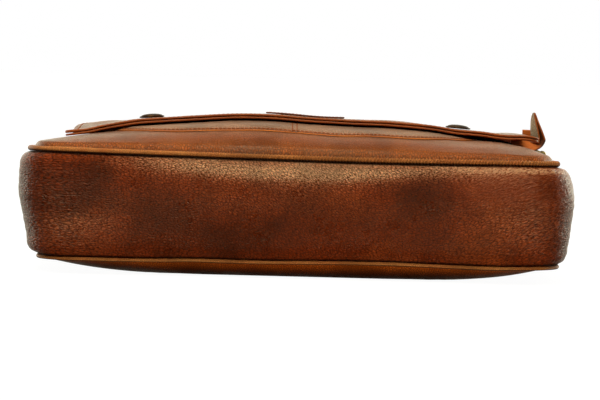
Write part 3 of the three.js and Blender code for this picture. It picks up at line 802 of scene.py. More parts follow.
def stitched(name, lines, pitch, length, radius):
    """Rows of stitches. Each line is a run of points and the way out of the leather there."""
    angles = np.linspace(0, 2 * math.pi, STITCH_SIDES, endpoint=False)
    bodies = []
    for line, out in lines:
        run = np.concatenate([[0], np.cumsum(np.linalg.norm(np.diff(line, axis=0), axis=1))])
        middles = np.arange(pitch / 2, run[-1], pitch)

        def at(values, where):
            return np.stack([np.interp(where, run, values[:, i]) for i in range(3)], -1)

        ways = unit(at(line, middles + 0.5) - at(line, middles - 0.5))
        for place, way, up in zip(at(line, middles), ways, unit(at(out, middles))):
            ring = np.outer(np.cos(angles), unit(np.cross(up, way))) + np.outer(np.sin(angles), up)
            body = []
            for along, thick, lift in STITCH_SHAPE:
                centre = place + way * along * length + up * (lift * radius * 2)
                body.append(centre + ring * radius * thick)
            bodies.append(body)
    return many(name, bodies, THREAD, flip=True, slot="edge_leather")


def line_on(surface, u, v, distance, u_range, v_range):
    u, v = np.broadcast_arrays(np.asarray(u, float), np.asarray(v, float))
    out = normals_of(surface, u, v, u_range, v_range)
    return surface(u, v) + out * distance, out


# The camera, at the photograph's place

FOCAL_PIXELS = 2541
IMAGE_WIDTH = 600
SENSOR = 36
CAMERA_PLACE = (0, -1855.8, 160)
HORIZON_PIXELS = 139  # from the middle of the picture up to the horizon
PICTURE_SLOPE = 0.0255
SHIFT_PIXELS = 3
camera = bpy.data.objects.new("camera", bpy.data.cameras.new("camera"))
bpy.context.scene.collection.objects.link(camera)
camera.data.sensor_width = SENSOR
camera.data.lens = SENSOR * FOCAL_PIXELS / IMAGE_WIDTH
camera.data.shift_x = SHIFT_PIXELS / IMAGE_WIDTH
camera.data.clip_end = 60
camera.matrix_world = (
    Matrix.Translation(metres(CAMERA_PLACE))
    @ Matrix.Rotation(math.pi / 2 - math.atan(HORIZON_PIXELS / FOCAL_PIXELS), 4, "X")
    @ Matrix.Rotation(math.atan(PICTURE_SLOPE), 4, "Z")
)
bpy.context.scene.camera = camera

# The body

GUSSET_RUN = steps(SEAM_RUN, 1.0, 1.0, 5.0, 1.9)
GUSSET_WAY = steps(GUSSET_WIDTH + 2 * ALLOWANCE, 1.0, 0.8, 16.0, 1.3) - ALLOWANCE
# How the lines of pebbles slope, from place to place along the seam
SLOPES = ((0, 0.05), (400, 0.05), (440, 0.5), (510, 0.45), (560, 0.1), (610, -0.4), (SEAM_RUN, -0.4))


def gusset_cut(run, way):
    """Pebbles are drawn long at the two corners, and their lines slope."""
    grid = np.linspace(0, SEAM_RUN, 2000)
    step = grid[1] - grid[0]
    drawn = np.cumsum(0.75 - 0.3 * np.minimum(1, corner_share(grid))) * step
    fall = np.cumsum(np.interp(grid, *zip(*SLOPES))) * step
    return np.interp(run, grid, drawn), way + np.interp(run, grid, fall)


# Stains on the gusset's bottom: x, way, their half sizes, and how much lighter they are
STAINS = (
    (-176, 54, 40, 24, -1.7),
    (-100, 20, 40, 15, -0.5),
    (-10, 20, 66, 15, -1.0),
    (98, 50, 40, 18, -0.8),
    (-155, 18, 34, 12, 0.6),
    (-50, 48, 30, 14, 0.5),
    (138, 28, 28, 26, 0.8),
)


def gusset_stain(run, way):
    x, _, _, _ = beside_seam(run, 0)
    from_left = smoothstep(run, SIDE_RUN - 20, SIDE_RUN + 20)
    from_right = 1 - smoothstep(run, SEAM_RUN - SIDE_RUN - 20, SEAM_RUN - SIDE_RUN + 20)
    stains = sum(a * bell(x, at, w) * bell(way, across, h) for at, across, w, h, a in STAINS)
    return from_left * from_right * stains


def gusset_painted_sheen(run, way):
    """Painted sheen, a highlight: pale on the shoulder under the front seam, most in the middle of the bag's
    bottom, with painted glints at the ends and a painted highlight line beside the seam at the right.
    """
    x, _, _, _ = beside_seam(run, 0)
    to_seam = smoothstep(way, 34, 71) ** 5
    middle = bell(x, 12, 116)
    ends = bell(x, 165, 34) * bell(way, 34, 24) + 1.3 * bell(x, -160, 40) * bell(way, 32, 28)
    edge = 0.6 * bell(way, GUSSET_WIDTH - 3, 2) * bell(x, 165, 50)
    clean = 1 - 0.8 * np.clip(-gusset_stain(run, way), 0, 1)
    belly = 0.2 * middle * smoothstep(way, 18, 40)
    return edge + clean * (0.26 * ends + belly + 0.06 + to_seam * (middle + 0.1))


def gusset_even(run, way):
    """The right end's front half is drawn nearly smooth."""
    x, _, _, _ = beside_seam(run, 0)
    return 0.7 * smoothstep(x, 95, 150) * smoothstep(way, 30, 58)


def gusset_groove_shade(run, way):
    """Painted shade in the grooves beside the two seams: how dark they are. The front one closes towards the
    right corner.
    """
    front = 0.95 - 0.7 * smoothstep(run, RIGHT_CORNER_RUN - 60, RIGHT_CORNER_RUN - 5)
    at_front = smoothstep(way, GUSSET_WIDTH - 1.8, GUSSET_WIDTH - 0.6)
    return front * at_front + 0.9 * (1 - smoothstep(way, 0.5, 2.0))


wall(
    "gusset_leather",
    gusset_face,
    GUSSET_RUN,
    GUSSET_WAY,
    -LEATHER,
    0,
    [GUSSET_LEATHER, FLESH, EDGE],
    cut=gusset_cut,
    marks={
        "crease": lambda run, way: np.minimum(1, 0.12 + corner_share(run)),
        "stain": gusset_stain,
        "pucker": lambda run, way: bell(way, GUSSET_WIDTH, 4) + 0.5 * bell(way, 0, 3),
        "wear": lambda run, way: 0.5 * bell(way, GUSSET_WIDTH - 2, 3) + 0.3 * bell(way, 0, 2),
        "painted_sheen": gusset_painted_sheen,
        "even": gusset_even,
        "dark": gusset_groove_shade,
    },
    replaces=["gusset"],
    slot="leather",
)


PANEL_SHARES = steps(PANEL_WIDTH, 1.0, 0.8, 8.0, 2.4) / HALF_WIDTH - 1


def panel_face(inset, slide, height_of):
    def face(share, up):
        x = share * outline_half_width(up, inset) - slide
        return xyz(x, up, height_of(x, up))

    return face


def panel_cut(inset):
    return lambda share, up: (share * outline_half_width(up, inset), up)


def to_seam(share, up):
    return np.minimum(up - PANEL_INSET, (1 - np.abs(share)) * HALF_WIDTH)


FRONT_UPS = PANEL_INSET + steps(PANEL_HEIGHT - PANEL_INSET, 1.0, 0.8, 12.0, 2.2)
wall(
    "front_panel_leather",
    panel_face(PANEL_INSET, FRONT_SLIDE, front_height),
    PANEL_SHARES,
    FRONT_UPS,
    -LEATHER,
    0,
    [PANEL_LEATHER, FLESH, EDGE],
    cut=panel_cut(PANEL_INSET),
    marks={
        "wear": lambda share, up: 0.65 * bell(up, 6, 9),
        # painted sheen, paler towards the top, and painted shade along the groove beside the seam
        "painted_sheen": lambda share, up: 0.55 * smoothstep(up, 9, 26),
        "dark": lambda share, up: 0.3 * (1 - smoothstep(to_seam(share, up), 0.4, 1.8)),
    },
    replaces=["front_panel"],
    slot="leather",
)
BACK_UPS = BACK_PANEL_INSET + steps(PANEL_HEIGHT - BACK_PANEL_INSET, 1.0, 0.9, 10.0, 2.6)
wall(
    "back_panel_leather",
    panel_face(BACK_PANEL_INSET, BACK_SLIDE, back_height),
    PANEL_SHARES,
    BACK_UPS,
    0,
    LEATHER,
    [FLESH, BACK_LEATHER, EDGE],
    cut=panel_cut(BACK_PANEL_INSET),
    marks={"wear": lambda share, up: 0.6 * bell(up, 8, 10)},
    replaces=["back_panel"],
    slot="leather",
)


WELT_SIDES = 16
WELT_STEP = 0.45
TWIST_PITCH = 2.4
TWIST_LOW, TWIST_HIGH = 0.04, 0.42
FRONT_TWIST = (330, 560)
NO_TWIST = (2000, 3000)  # beyond the seam's end


def welt(name, node, inner_radius, inset, slide, height_at, twist_ends):
    """The rolled edge in a seam: leather wound round a cord. Its stitches draw it into slanting folds, which
    begin between two places along the seam."""
    run = np.linspace(0, SEAM_RUN, round(SEAM_RUN / WELT_STEP))
    angle = np.linspace(0, 2 * math.pi, WELT_SIDES, endpoint=False)
    run, angle = np.meshgrid(run, angle, indexing="ij")
    x, up, out_x, out_up = beside_seam(run, -inset)
    x = x - slide
    twist = np.sin(2 * math.pi * run / TWIST_PITCH + 2 * angle + 1.5 * waves(run, angle, 23, 31))
    twisted = smoothstep(run, *twist_ends)
    radius = inner_radius + lerp(TWIST_LOW, TWIST_HIGH, twisted) * twist
    radius = radius + 0.12 * waves(run, 3 * angle, 40, 32)
    rings = xyz(
        x + out_x * radius * np.cos(angle),
        up + out_up * radius * np.cos(angle),
        height_at(x, up) - radius * np.sin(angle),
    )
    # Painted shade on the welt's underside and in the hollows of its folds, and an even painted sheen over
    # all of it
    under = 0.9 * smoothstep(np.sin(angle), 0.25, 0.65)
    fold_shade = 0.45 * twisted * smoothstep(-twist, 0.1, 0.9)
    marks = {
        "wear": 0.55 + 0.45 * waves(run, angle, 60, 33),
        "dark": np.maximum(under, fold_shade),
        "painted_sheen": np.full(run.shape, 0.3),
    }
    cut = np.stack([run, angle * inner_radius], -1)
    return bar(name, rings, [WELT_LEATHER], cut, marks, replaces=[node], slot="edge_leather")


welt("front_welt_leather", "front_welt", WELT_DRAWN, 0, FRONT_SLIDE, front_seam_height, FRONT_TWIST)
welt("back_welt_leather", "back_welt", BACK_WELT_RADIUS, BACK_INSET, BACK_SLIDE, back_seam_height, NO_TWIST)

# The pocket

POCKET_HALF = POCKET_WIDTH / 2


def pocket_face(share, rise):
    across = share * POCKET_HALF
    up = lerp(rounded_bottom(across, POCKET_HALF, POCKET_BOTTOM, POCKET_CORNER), POCKET_TOP, rise)
    return front_face(across - FRONT_SLIDE, up)


def inside_pocket(share, rise):
    up = pocket_face(share, rise)[..., 1]
    inside = inside_rounded(share * POCKET_HALF, up, POCKET_HALF, POCKET_BOTTOM, POCKET_CORNER)
    return np.minimum(inside, POCKET_TOP - up)


# Its stitches: their distance from the edge, and x of the two upright rows
POCKET_SEWN = 3.4
POCKET_ROWS = (-1.7, 1.7)


def pocket_relief(share, rise):
    """Each row of stitches pulls the leather in."""
    x = share * POCKET_HALF
    inside = inside_pocket(share, rise)
    rows = np.minimum(1, sum(bell(x, row, 0.8) for row in POCKET_ROWS))
    return -0.15 * bell(inside, POCKET_SEWN, 0.9) - 0.35 * rows


def with_lines(values, places, spacing):
    """Grid lines with closer ones about some places."""
    extra = [p + d for p in places for d in np.arange(-3, 4) * spacing]
    return np.unique(np.round(np.concatenate([values, extra]), 6))


POCKET_RIM = POCKET_PLY / 2
POCKET_LOW = 0.12
POCKET_HEIGHT = POCKET_TOP - POCKET_BOTTOM
POCKET_SHARES = steps(POCKET_WIDTH, POCKET_RIM, 0.7, 6.0, 2.2) / POCKET_HALF - 1
wall(
    "front_pocket_leather",
    pocket_face,
    with_lines(POCKET_SHARES, np.array(POCKET_ROWS) / POCKET_HALF, 0.0028),
    steps(POCKET_HEIGHT, POCKET_RIM, 0.6, 6.0, 2.2) / POCKET_HEIGHT,
    POCKET_LOW,
    POCKET_SEAT + POCKET_PLY,
    [PANEL_LEATHER, FLESH, PAINTED_LIGHT_EDGE],
    inside=inside_pocket,
    relief=pocket_relief,
    pared=lambda inside: 0.35 + 0.65 * smoothstep(inside, 0, 11),
    marks={
        "wear": lambda share, rise: 0.9 * bell(inside_pocket(share, rise), 0, 1.6),
        # painted sheen, paler inside the pocket's edge
        "painted_sheen": lambda share, rise: 0.8 * smoothstep(inside_pocket(share, rise), 1, 4),
    },
    replaces=["front_pocket"],
    slot="leather",
)


def pocket_outline():
    """The line of the pocket's edge stitches, from the top left, round the bottom, to the top right."""
    half, low, radius = POCKET_HALF - POCKET_SEWN, POCKET_BOTTOM + POCKET_SEWN, POCKET_CORNER - POCKET_SEWN
    turn = np.linspace(math.pi, 1.5 * math.pi, 60)
    side = np.linspace(POCKET_TOP - 4, low + radius, 50)
    left_x = np.concatenate([np.full(len(side), -half), -half + radius + radius * np.cos(turn[1:])])
    left_up = np.concatenate([side, low + radius + radius * np.sin(turn[1:])])
    bottom = np.linspace(left_x[-1], -left_x[-1], 80)[1:-1]
    x = np.concatenate([left_x, bottom, -left_x[::-1]])
    up = np.concatenate([left_up, np.full(len(bottom), low), left_up[::-1]])
    return x - FRONT_SLIDE, up


PARED_DROP = 0.85  # the pocket's pared edge lies this much lower
POCKET_TOP_FACE = POCKET_SEAT + POCKET_PLY - 0.2
X_RANGE, UP_RANGE = (-HALF_WIDTH, HALF_WIDTH), (PANEL_INSET, PANEL_HEIGHT)
pocket_lines = [line_on(front_face, *pocket_outline(), POCKET_TOP_FACE - PARED_DROP, X_RANGE, UP_RANGE)]
for row in POCKET_ROWS:
    ups = np.linspace(POCKET_BOTTOM + 0.6, POCKET_TOP - 4, 120)
    pocket_lines.append(line_on(front_face, row - FRONT_SLIDE, ups, POCKET_TOP_FACE, X_RANGE, UP_RANGE))
stitched("pocket_stitches", pocket_lines, pitch=3.2, length=2.7, radius=0.36)

# The flap

FLAP_SEWN = 4.2
FLAP_RIM = FLAP_PLY / 2
FRONT_LENGTH = BEND_START - FLAP_HEM


def flap_ways():
    """Rows from the hem to the end of the tab: fine at the hem and at the end."""
    hem = steps(2 * FRONT_LENGTH, FLAP_RIM, 0.6, 8.0, 2.3)
    hem = hem[hem < FRONT_LENGTH] / FRONT_LENGTH * FRONT_SHARE
    nose = np.linspace(FRONT_SHARE, FRONT_SHARE + NOSE_SHARE, 60)
    tab = steps(2 * FLAP_TAB, FLAP_RIM, 0.7, 8.0, 1.5)
    tab = 1 - tab[tab < FLAP_TAB - 0.5][::-1] / FLAP_TAB * TAB_SHARE
    return np.concatenate([hem, nose, tab])


FLAP_XS = steps(FLAP_WIDTH, FLAP_RIM, 0.6, 8.0, 2.3) - FLAP_HALF
FLAP_WAYS = flap_ways()
# Length along the flap at its hem and at the ends of its front, its nose and its tab, from the bottom seam
FLAP_LENGTHS = (FLAP_HEM, BEND_START, 397, 420)


def flap_cut(x, way):
    return x, np.interp(way, (0, FRONT_SHARE, FRONT_SHARE + NOSE_SHARE, 1), FLAP_LENGTHS)


def flap_relief(x, way):
    """The edge stitches pull the leather in, and the left tip curls up."""
    tip = smoothstep(-x, FLAP_HALF - 16, FLAP_HALF - 2) * (1 - smoothstep(way, 0.01, 0.05))
    return 0.7 * tip - 0.38 * bell(inside_flap(x, way), FLAP_SEWN, 1.0)


wall(
    "flap_lining_leather",
    flap_face,
    FLAP_XS,
    FLAP_WAYS,
    0,
    FLAP_PLY,
    [LINING_LEATHER, LINING_LEATHER, EDGE],
    inside=inside_flap,
    cut=flap_cut,
    replaces=["flap_lining"],
    slot="lining_leather",
)
wall(
    "flap_leather",
    flap_face,
    FLAP_XS,
    FLAP_WAYS,
    FLAP_OUTSIDE - FLAP_PLY,
    FLAP_OUTSIDE,
    [FLAP_LEATHER, FLESH, EDGE],
    inside=inside_flap,
    relief=flap_relief,
    cut=flap_cut,
    marks={"wear": lambda x, way: 0.8 * bell(inside_flap(x, way), 0, 2.2)},
    replaces=["flap"],
    slot="leather",
)


def flap_outline():
    """The line of the flap's edge stitches: round it from the left end of its tab and back to there."""
    half, radius = FLAP_HALF - FLAP_SEWN, FLAP_CORNER - FLAP_SEWN
    low = FLAP_HEM + FLAP_SEWN
    end = 1 - FLAP_SEWN / FLAP_TAB * TAB_SHARE
    turn = np.linspace(math.pi, 1.5 * math.pi, 12)
    corner_x = -half + radius + radius * np.cos(turn)
    corner_up = low + radius + radius * np.sin(turn)
    hem = rounded_bottom(corner_x, FLAP_HALF, FLAP_HEM, FLAP_CORNER)
    corner_way = (corner_up - hem) / (BEND_START - hem) * FRONT_SHARE
    side_way = np.linspace(end, corner_way[0], 300)
    left_x = np.concatenate([np.full(len(side_way), -half), corner_x[1:]])
    left_way = np.concatenate([side_way, corner_way[1:]])
    bottom = np.linspace(corner_x[-1], -corner_x[-1], 200)[1:-1]
    back = np.linspace(half, -half, 200)[1:-1]
    x = np.concatenate([left_x, bottom, -left_x[::-1], back])
    along_hem, along_tab = np.full(len(bottom), corner_way[-1]), np.full(len(back), end)
    way = np.concatenate([left_way, along_hem, left_way[::-1], along_tab])
    return x, way


flap_line = line_on(flap_face, *flap_outline(), FLAP_OUTSIDE - 0.25, (-FLAP_HALF, FLAP_HALF), (0, 1))
stitched("flap_stitches", [flap_line], pitch=3.4, length=2.8, radius=0.38)

# The label's place, left bare

LABEL_SEAT = FLAP_OUTSIDE + SEAM_GAP
LABEL_SEWN = 2.4


def inside_label(x, up):
    side = LABEL_WIDTH / 2 - np.abs(x - FLAP_SLIDE)
    return np.minimum(side, np.minimum(up - LABEL_BOTTOM, LABEL_BOTTOM + LABEL_HEIGHT - up))


wall(
    "label_patch_leather",
    flap_top,
    steps(LABEL_WIDTH, LABEL_PLY / 2, 0.5, 5.0, 1.2) - LABEL_WIDTH / 2 + FLAP_SLIDE,
    LABEL_BOTTOM + steps(LABEL_HEIGHT, LABEL_PLY / 2, 0.5, 5.0, 1.2),
    LABEL_SEAT,
    LABEL_SEAT + LABEL_PLY,
    [LABEL_LEATHER, FLESH, DARK_EDGE],
    inside=inside_label,
    relief=lambda x, up: -0.25 * bell(inside_label(x, up), LABEL_SEWN, 0.8),
    replaces=["label_patch"],
    slot="leather",
)
label_reach = LABEL_WIDTH / 2 - LABEL_SEWN
label_left, label_right = FLAP_SLIDE - label_reach, FLAP_SLIDE + label_reach
label_low, label_high = LABEL_BOTTOM + LABEL_SEWN, LABEL_BOTTOM + LABEL_HEIGHT - LABEL_SEWN
LABEL_FACE = LABEL_SEAT + LABEL_PLY - 0.15
label_lines = []
for up in (label_low, label_high):
    xs = np.linspace(label_left, label_right, 60)
    label_lines.append(line_on(flap_top, xs, up, LABEL_FACE, X_RANGE, UP_RANGE))
for x in (label_left, label_right):
    ups = np.linspace(label_low, label_high, 30)
    label_lines.append(line_on(flap_top, x, ups, LABEL_FACE, X_RANGE, UP_RANGE))
stitched("label_stitches", label_lines, pitch=2.8, length=2.3, radius=0.28)

# The snaps

DOME_RADIUS, DOME_BASE = CAP_RADIUS - 1.4, 1.3
CAP_RIM = ((1.2, 0), (0.5, 0.1), (0.1, 0.4), (0, 0.8), (0.15, 1.15), (0.6, 1.3), (1.1, 1.2), (1.4, DOME_BASE))
CAP_PROFILE = [(0, 0)] + [(CAP_RADIUS - inside, height) for inside, height in CAP_RIM]
for angle in np.linspace(0, 0.5 * math.pi, 12)[1:-1]:
    height = DOME_BASE + (CAP_HEIGHT - DOME_BASE) * math.sin(angle)
    CAP_PROFILE.append((DOME_RADIUS * math.cos(angle), height))
CAP_PROFILE.append((0, CAP_HEIGHT))
SOCKET_PROFILE = [(0, 0), (SOCKET_RADIUS - 0.2, 0), (SOCKET_RADIUS, 0.2), (SOCKET_RADIUS - 0.2, 0.4)]
SOCKET_PROFILE += [(4.6, 0.4), (4.4, SOCKET_HEIGHT), (3.6, SOCKET_HEIGHT), (3.4, 0.3), (0, 0.3)]
for side, x in (("left", FLAP_SLIDE - SNAP_X), ("right", FLAP_SLIDE + SNAP_X)):
    for part, surface, profile, seat, sides in (
        ("cap", flap_top, CAP_PROFILE, FLAP_OUTSIDE + SEAM_GAP, 48),
        ("socket", front_face, SOCKET_PROFILE, POCKET_SEAT + POCKET_PLY + SEAM_GAP, 32),
    ):
        (place,), (out,) = line_on(surface, [x], [SNAP_UP], seat, X_RANGE, UP_RANGE)
        node = f"snap_{part}_{side}"
        turned(f"{node}_brass", profile, sides, place, out, AGED_BRASS, replaces=[node], slot="aged_brass")

# The zip

wall(
    "zip_tape_weave",
    front_face,
    TAPE_START + steps(TAPE_END - TAPE_START, TAPE_PLY / 2, 0.8, 6.0, 2.4),
    ZIP_UP - TAPE_WIDTH / 2 + steps(TAPE_WIDTH, TAPE_PLY / 2, 0.6, 4.0, 1.2),
    SEAM_GAP,
    TAPE_TOP,
    [TAPE, TAPE, TAPE],
    replaces=["zip_tape"],
    slot="zip_tape",
)


def on_zip(xs, up, seat):
    """Places on the zip, each with the ways along it, across it and out of it."""
    places, outs = line_on(front_face, xs, up, seat, X_RANGE, UP_RANGE)
    across = unit(np.cross(outs, (1.0, 0, 0)))
    return zip(places, np.cross(across, outs), across, outs)


def layered(outline, layers, place, along, across, out):
    """Rings of a flat outline. Each layer is a height and the outline's size there."""
    flat = [(height, outline * size) for height, size in layers]
    return np.stack([place + f[:, :1] * along + f[:, 1:] * across + height * out for height, f in flat])


TOOTH_PITCH = 2.6
TOOTH_OFFSET = 1.15
HALF_TOOTH = [(0.55, -1.5), (0.6, 0.2), (0.8, 0.7), (0.75, 1.3), (0.35, 1.7)]
TOOTH = np.array([(-0.55, -1.5)] + HALF_TOOTH + [(-x, y) for x, y in HALF_TOOTH[:0:-1]])
TOOTH_LAYERS = ((0.0, 0.86), (0.25, 1.0), (1.4, 1.0), (1.8, 0.86))
TOOTH_COUNT = int((CHAIN_END - CHAIN_START - 1.5) / TOOTH_PITCH)
teeth = []
for row, sign in ((0, 1), (1, -1)):
    xs = CHAIN_START + 1 + TOOTH_PITCH * (np.arange(TOOTH_COUNT) + 0.5 * row)
    for axes in on_zip(xs, ZIP_UP - sign * TOOTH_OFFSET, CHAIN_SEAT):
        teeth.append(layered(TOOTH * sign, TOOTH_LAYERS, *axes))
many("zip_chain_teeth", teeth, AGED_BRASS, replaces=["zip_chain"], slot="aged_brass")

HALF_SLIDER = np.array(
    [(-4.2, -2.6), (-3.4, -3.2), (-0.4, -4.4), (0.8, -4.7), (3.6, -4.7), (4.3, -4.2), (4.3, -2.2), (3.4, 0.0)]
)
SLIDER = np.concatenate([HALF_SLIDER, HALF_SLIDER[-2::-1] * (1, -1)])
SLIDER_LAYERS = (
    (0.0, 0.9), (0.35, 1.0), (0.9, 1.0), (1.15, 0.93), (1.3, 0.62),
    (1.6, 0.62), (1.75, 0.93), (2.1, 1.0), (2.5, 1.0), (2.85, 0.9),
)
(slider_axes,) = on_zip([SLIDER_X], [ZIP_UP], CHAIN_SEAT)
slider = layered(SLIDER, SLIDER_LAYERS, *slider_axes)
bar("zip_slider_brass", slider, [BRIGHT_BRASS], replaces=["zip_slider"], slot="bright_brass")

CROWN_RADIUS = 1.7
CROWN_SECTION = (1.45, 1.9)


def slider_crown():
    """The arch on the slider that holds the pull."""
    ((place, along, across, out),) = on_zip([SLIDER_X + 2], [ZIP_UP], CHAIN_SEAT + 2.4)
    turn = np.linspace(0, math.pi, 24)[:, None]
    round_way = np.linspace(0, 2 * math.pi, 12, endpoint=False)[None, :]
    reach = CROWN_RADIUS + CROWN_SECTION[0] * np.cos(round_way)
    flat = xyz(-reach * np.cos(turn), CROWN_SECTION[1] * np.sin(round_way), reach * np.sin(turn))
    rings = place + flat[..., :1] * along + flat[..., 1:2] * across + flat[..., 2:] * out
    return bar("zip_slider_crown", rings, [BRIGHT_BRASS], slot="bright_brass")


slider_crown()


def through(stations, count):
    """A smooth centripetal curve through stations, as rows of values: the first three are the place."""
    stations = np.asarray(stations, float)
    padded = np.concatenate([[2 * stations[0] - stations[1]], stations, [2 * stations[-1] - stations[-2]]])
    gaps = np.sqrt(np.linalg.norm(np.diff(padded[:, :3], axis=0), axis=1))
    made = []
    for place in np.linspace(0, len(stations) - 1, count):
        i = min(int(place), len(stations) - 2)
        t = place - i
        p0, p1, p2, p3 = padded[i : i + 4]
        g0, g1, g2 = gaps[i : i + 3]
        m1 = ((p1 - p0) / g0 - (p2 - p0) / (g0 + g1) + (p2 - p1) / g1) * g1
        m2 = ((p2 - p1) / g1 - (p3 - p1) / (g1 + g2) + (p3 - p2) / g2) * g1
        cubic = (2 * t**3 - 3 * t**2 + 1) * p1 + (t**3 - 2 * t**2 + t) * m1
        cubic = cubic + (3 * t**2 - 2 * t**3) * p2 + (t**3 - t**2) * m2
        cubic[3:] = lerp(p1, p2, t)[3:]
        made.append(cubic)
    return np.array(made)


# Stations of the pull's two tails and of the tape's folded end: x, up, z, width, yaw and rise. The long tail
# runs out from under the flap, folds up to its tip, and folds back down to the slider.
LONG_TAIL = (
    (172.5, 204, 98.2, 13, 0, 30),
    (181, 204, 96.6, 13, 4, 40),
    (187.5, 204, 95.6, 13, 14, 38),
    (193.6, 204, 97.4, 12, 34, 16),
    (195.6, 204, 100.3, 12, 40, 0),
    (195.7, 204, 101.8, 12, 40, 0),
    (193.8, 204, 108.6, 10, 40, 0),
    (191.6, 204, 116.7, 6, 40, 0),
    (190.7, 204, 121.4, 3, 40, 0),
    (190.3, 204, 122.4, 2.6, 40, 0),
    (189.9, 204, 121.4, 3, 40, 0),
    (190.0, 204, 116.7, 6, 40, 0),
    (191.0, 204, 108.6, 9, 40, 0),
    (191.8, 204, 102.6, 10, 40, 0),
    (191.6, 204, 98.4, 10, 40, 0),
)
SHORT_TAIL = (
    (190.2, 215.6, 90, 9, 58, 0),
    (189.4, 215.6, 97, 9, 62, 0),
    (186.6, 215.6, 104, 9, 66, 0),
    (185.3, 215.6, 108.8, 6.5, 68, 0),
)
TAPE_FOLD = (
    (194.8, 205, 87.6, 17, 0, 0),
    (197.4, 205, 88.9, 17, 0, 0),
    (199.4, 205, 88.5, 16, 0, 0),
    (200.8, 205, 86.6, 15, 0, 0),
    (201.2, 205, 84.4, 14, 0, 0),
)


STRIP_SAMPLES = 400
STRIP_HALF = 6.0  # half the width that a strip's grid and grain are laid out for


def tail(name, stations, ply, materials, slot, marks=(), **declared):
    """A strip through stations. Its width lies along the bag where yaw and rise are 0."""
    spine = through(stations, STRIP_SAMPLES)
    places = np.linspace(0, 1, STRIP_SAMPLES)

    def face(way, side):
        x, up, z, width, yaw, rise = (np.interp(way, places, spine[:, i]) for i in range(6))
        yaw, rise = np.radians(yaw), np.radians(rise)
        across = xyz(-np.sin(yaw) * np.cos(rise), np.cos(yaw) * np.cos(rise), np.sin(rise))
        return xyz(x, up, z) + across * (width / 2 * side)[..., None]

    length = np.linalg.norm(np.diff(spine[:, :3], axis=0), axis=1).sum()
    return wall(
        name,
        face,
        steps(length, ply / 2, 0.4, 2.0, 0.5) / length,
        steps(2 * STRIP_HALF, ply / 2, 0.4, 2.0, 0.8) / STRIP_HALF - 1,
        -ply / 2,
        ply / 2,
        materials,
        cut=lambda way, side: (length * way, STRIP_HALF * side),
        marks=marks,
        slot=slot,
        **declared,
    )


def pull_shadow(way, side):
    """The long tail is dark between its fold and its tip, but its edges only near the fold."""
    stretch = 0.85 * smoothstep(way, 0.16, 0.24) * (1 - smoothstep(way, 0.58, 0.64))
    return stretch * ((np.abs(side) < 0.85) | (way < 0.34))


LONG_PLY, SHORT_PLY, FOLD_PLY = 1.5, 1.8, 2.6
# The long tail's inner face is the pull's pale grain side, partly a painted reflection
LONG_FACES = [RAW_LEATHER, PULL_LEATHER, EDGE]
SHORT_FACES = [RAW_LEATHER, RAW_LEATHER, PAINTED_LIGHT_EDGE]
tail(
    "zip_pull_long_leather",
    LONG_TAIL,
    LONG_PLY,
    LONG_FACES,
    "edge_leather",
    {"dark": pull_shadow},
    replaces=["zip_pull_long"],
)
tail(
    "zip_pull_short_leather", SHORT_TAIL, SHORT_PLY, SHORT_FACES, "edge_leather", replaces=["zip_pull_short"]
)
tail("zip_tape_fold", TAPE_FOLD, FOLD_PLY, [TAPE, TAPE, TAPE], "zip_tape")

# The floor and the light

FLOOR_REACH = 20.0
FLOOR_DROP = 0.0003


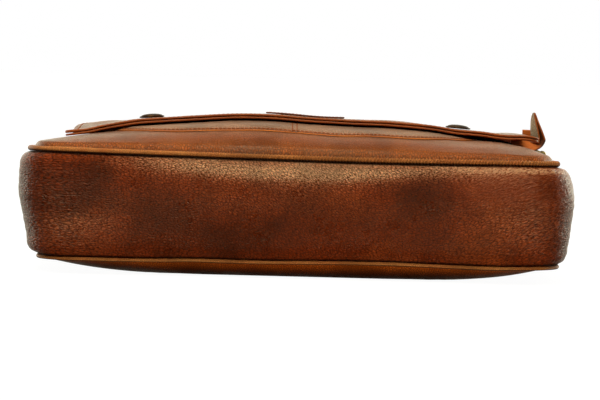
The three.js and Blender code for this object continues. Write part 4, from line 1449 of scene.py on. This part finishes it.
def floor():
    tree, place = start("floor")
    colour = tree.mix(tree.noise(place, 3.0), rgb(0.1, 0.1, 0.1), rgb(0.11, 0.11, 0.11))
    white = {"Emission_Color": rgb(1, 1, 1), "Emission_Strength": 0.96}
    mesh = bpy.data.meshes.new("floor")
    corners = [(x * FLOOR_REACH, y * FLOOR_REACH, 0) for x, y in ((-1, -1), (1, -1), (1, 1), (-1, 1))]
    mesh.from_pydata(corners, [], [(0, 1, 2, 3)])
    mesh.materials.append(tree.finish(Base_Color=colour, Roughness=0.9, Specular_IOR_Level=0.1, **white))
    plane = bpy.data.objects.new("floor", mesh)
    plane.location.z = -FLOOR_DROP
    plane.visible_diffuse = False
    plane.visible_glossy = False
    bpy.context.scene.collection.objects.link(plane)


floor()


WARM_LIGHT = rgb(1.0, 0.96, 0.78)


def softbox(name, place, target, size, power):
    light = bpy.data.lights.new(name, "AREA")
    light.color = WARM_LIGHT[:3]
    light.shape = "RECTANGLE"
    light.size, light.size_y = size
    light.energy = power
    lamp = bpy.data.objects.new(name, light)
    bpy.context.scene.collection.objects.link(lamp)
    way = Vector(place) - Vector(target)
    lamp.matrix_world = Matrix.Translation(place) @ way.to_track_quat("Z", "Y").to_matrix().to_4x4()
    return lamp


softbox("key", (-0.2, -0.6, 1.75), (0, -0.1, 0.06), (1.2, 0.5), 21)
softbox("fill", (-0.1, -1.75, 1.5), (0, -0.15, 0.06), (1.8, 0.35), 14)
softbox("right_rim", (1.2, 0.9, 0.3), (0.2, -0.05, 0.06), (0.5, 0.9), 6)
softbox("left_rim", (-1.2, 0.9, 0.3), (-0.2, -0.05, 0.06), (0.5, 0.9), 4)
bounce = softbox("bounce", (0, -0.36, 0.0002), (0, -0.36, 0.2), (1.2, 0.42), 1.1)
bounce.visible_camera = False
bounce.visible_glossy = False


def studio():
    """Light from behind the bag and from near the horizon, dim below it, before a white backdrop."""
    world = bpy.data.worlds.new("studio")
    bpy.context.scene.world = world
    tree = Tree(world)
    _, y, z = tree.add("SeparateXYZ", i0=tree.add("TexCoord", "Generated")).node.outputs
    behind = tree.spread(y, 0.1, 0.8, 0.02, 1.0)
    near_horizon = tree.spread(tree.math("ABSOLUTE", z), 0.75, 0.2, 0.02, 1.8)
    above = tree.spread(z, -0.3, 0.0, 0.22, 1.0)
    strength = tree.times(tree.times(behind, near_horizon), above)
    glow = tree.add("Background", Color=WARM_LIGHT, Strength=strength)
    backdrop = tree.add("Background", Color=rgb(1, 1, 1), Strength=1.0)
    seen = tree.add("LightPath", "Is Camera Ray")
    tree.show("World", tree.add("MixShader", i0=seen, i1=glow, i2=backdrop))


studio()
bpy.context.scene.view_settings.view_transform = "Standard"
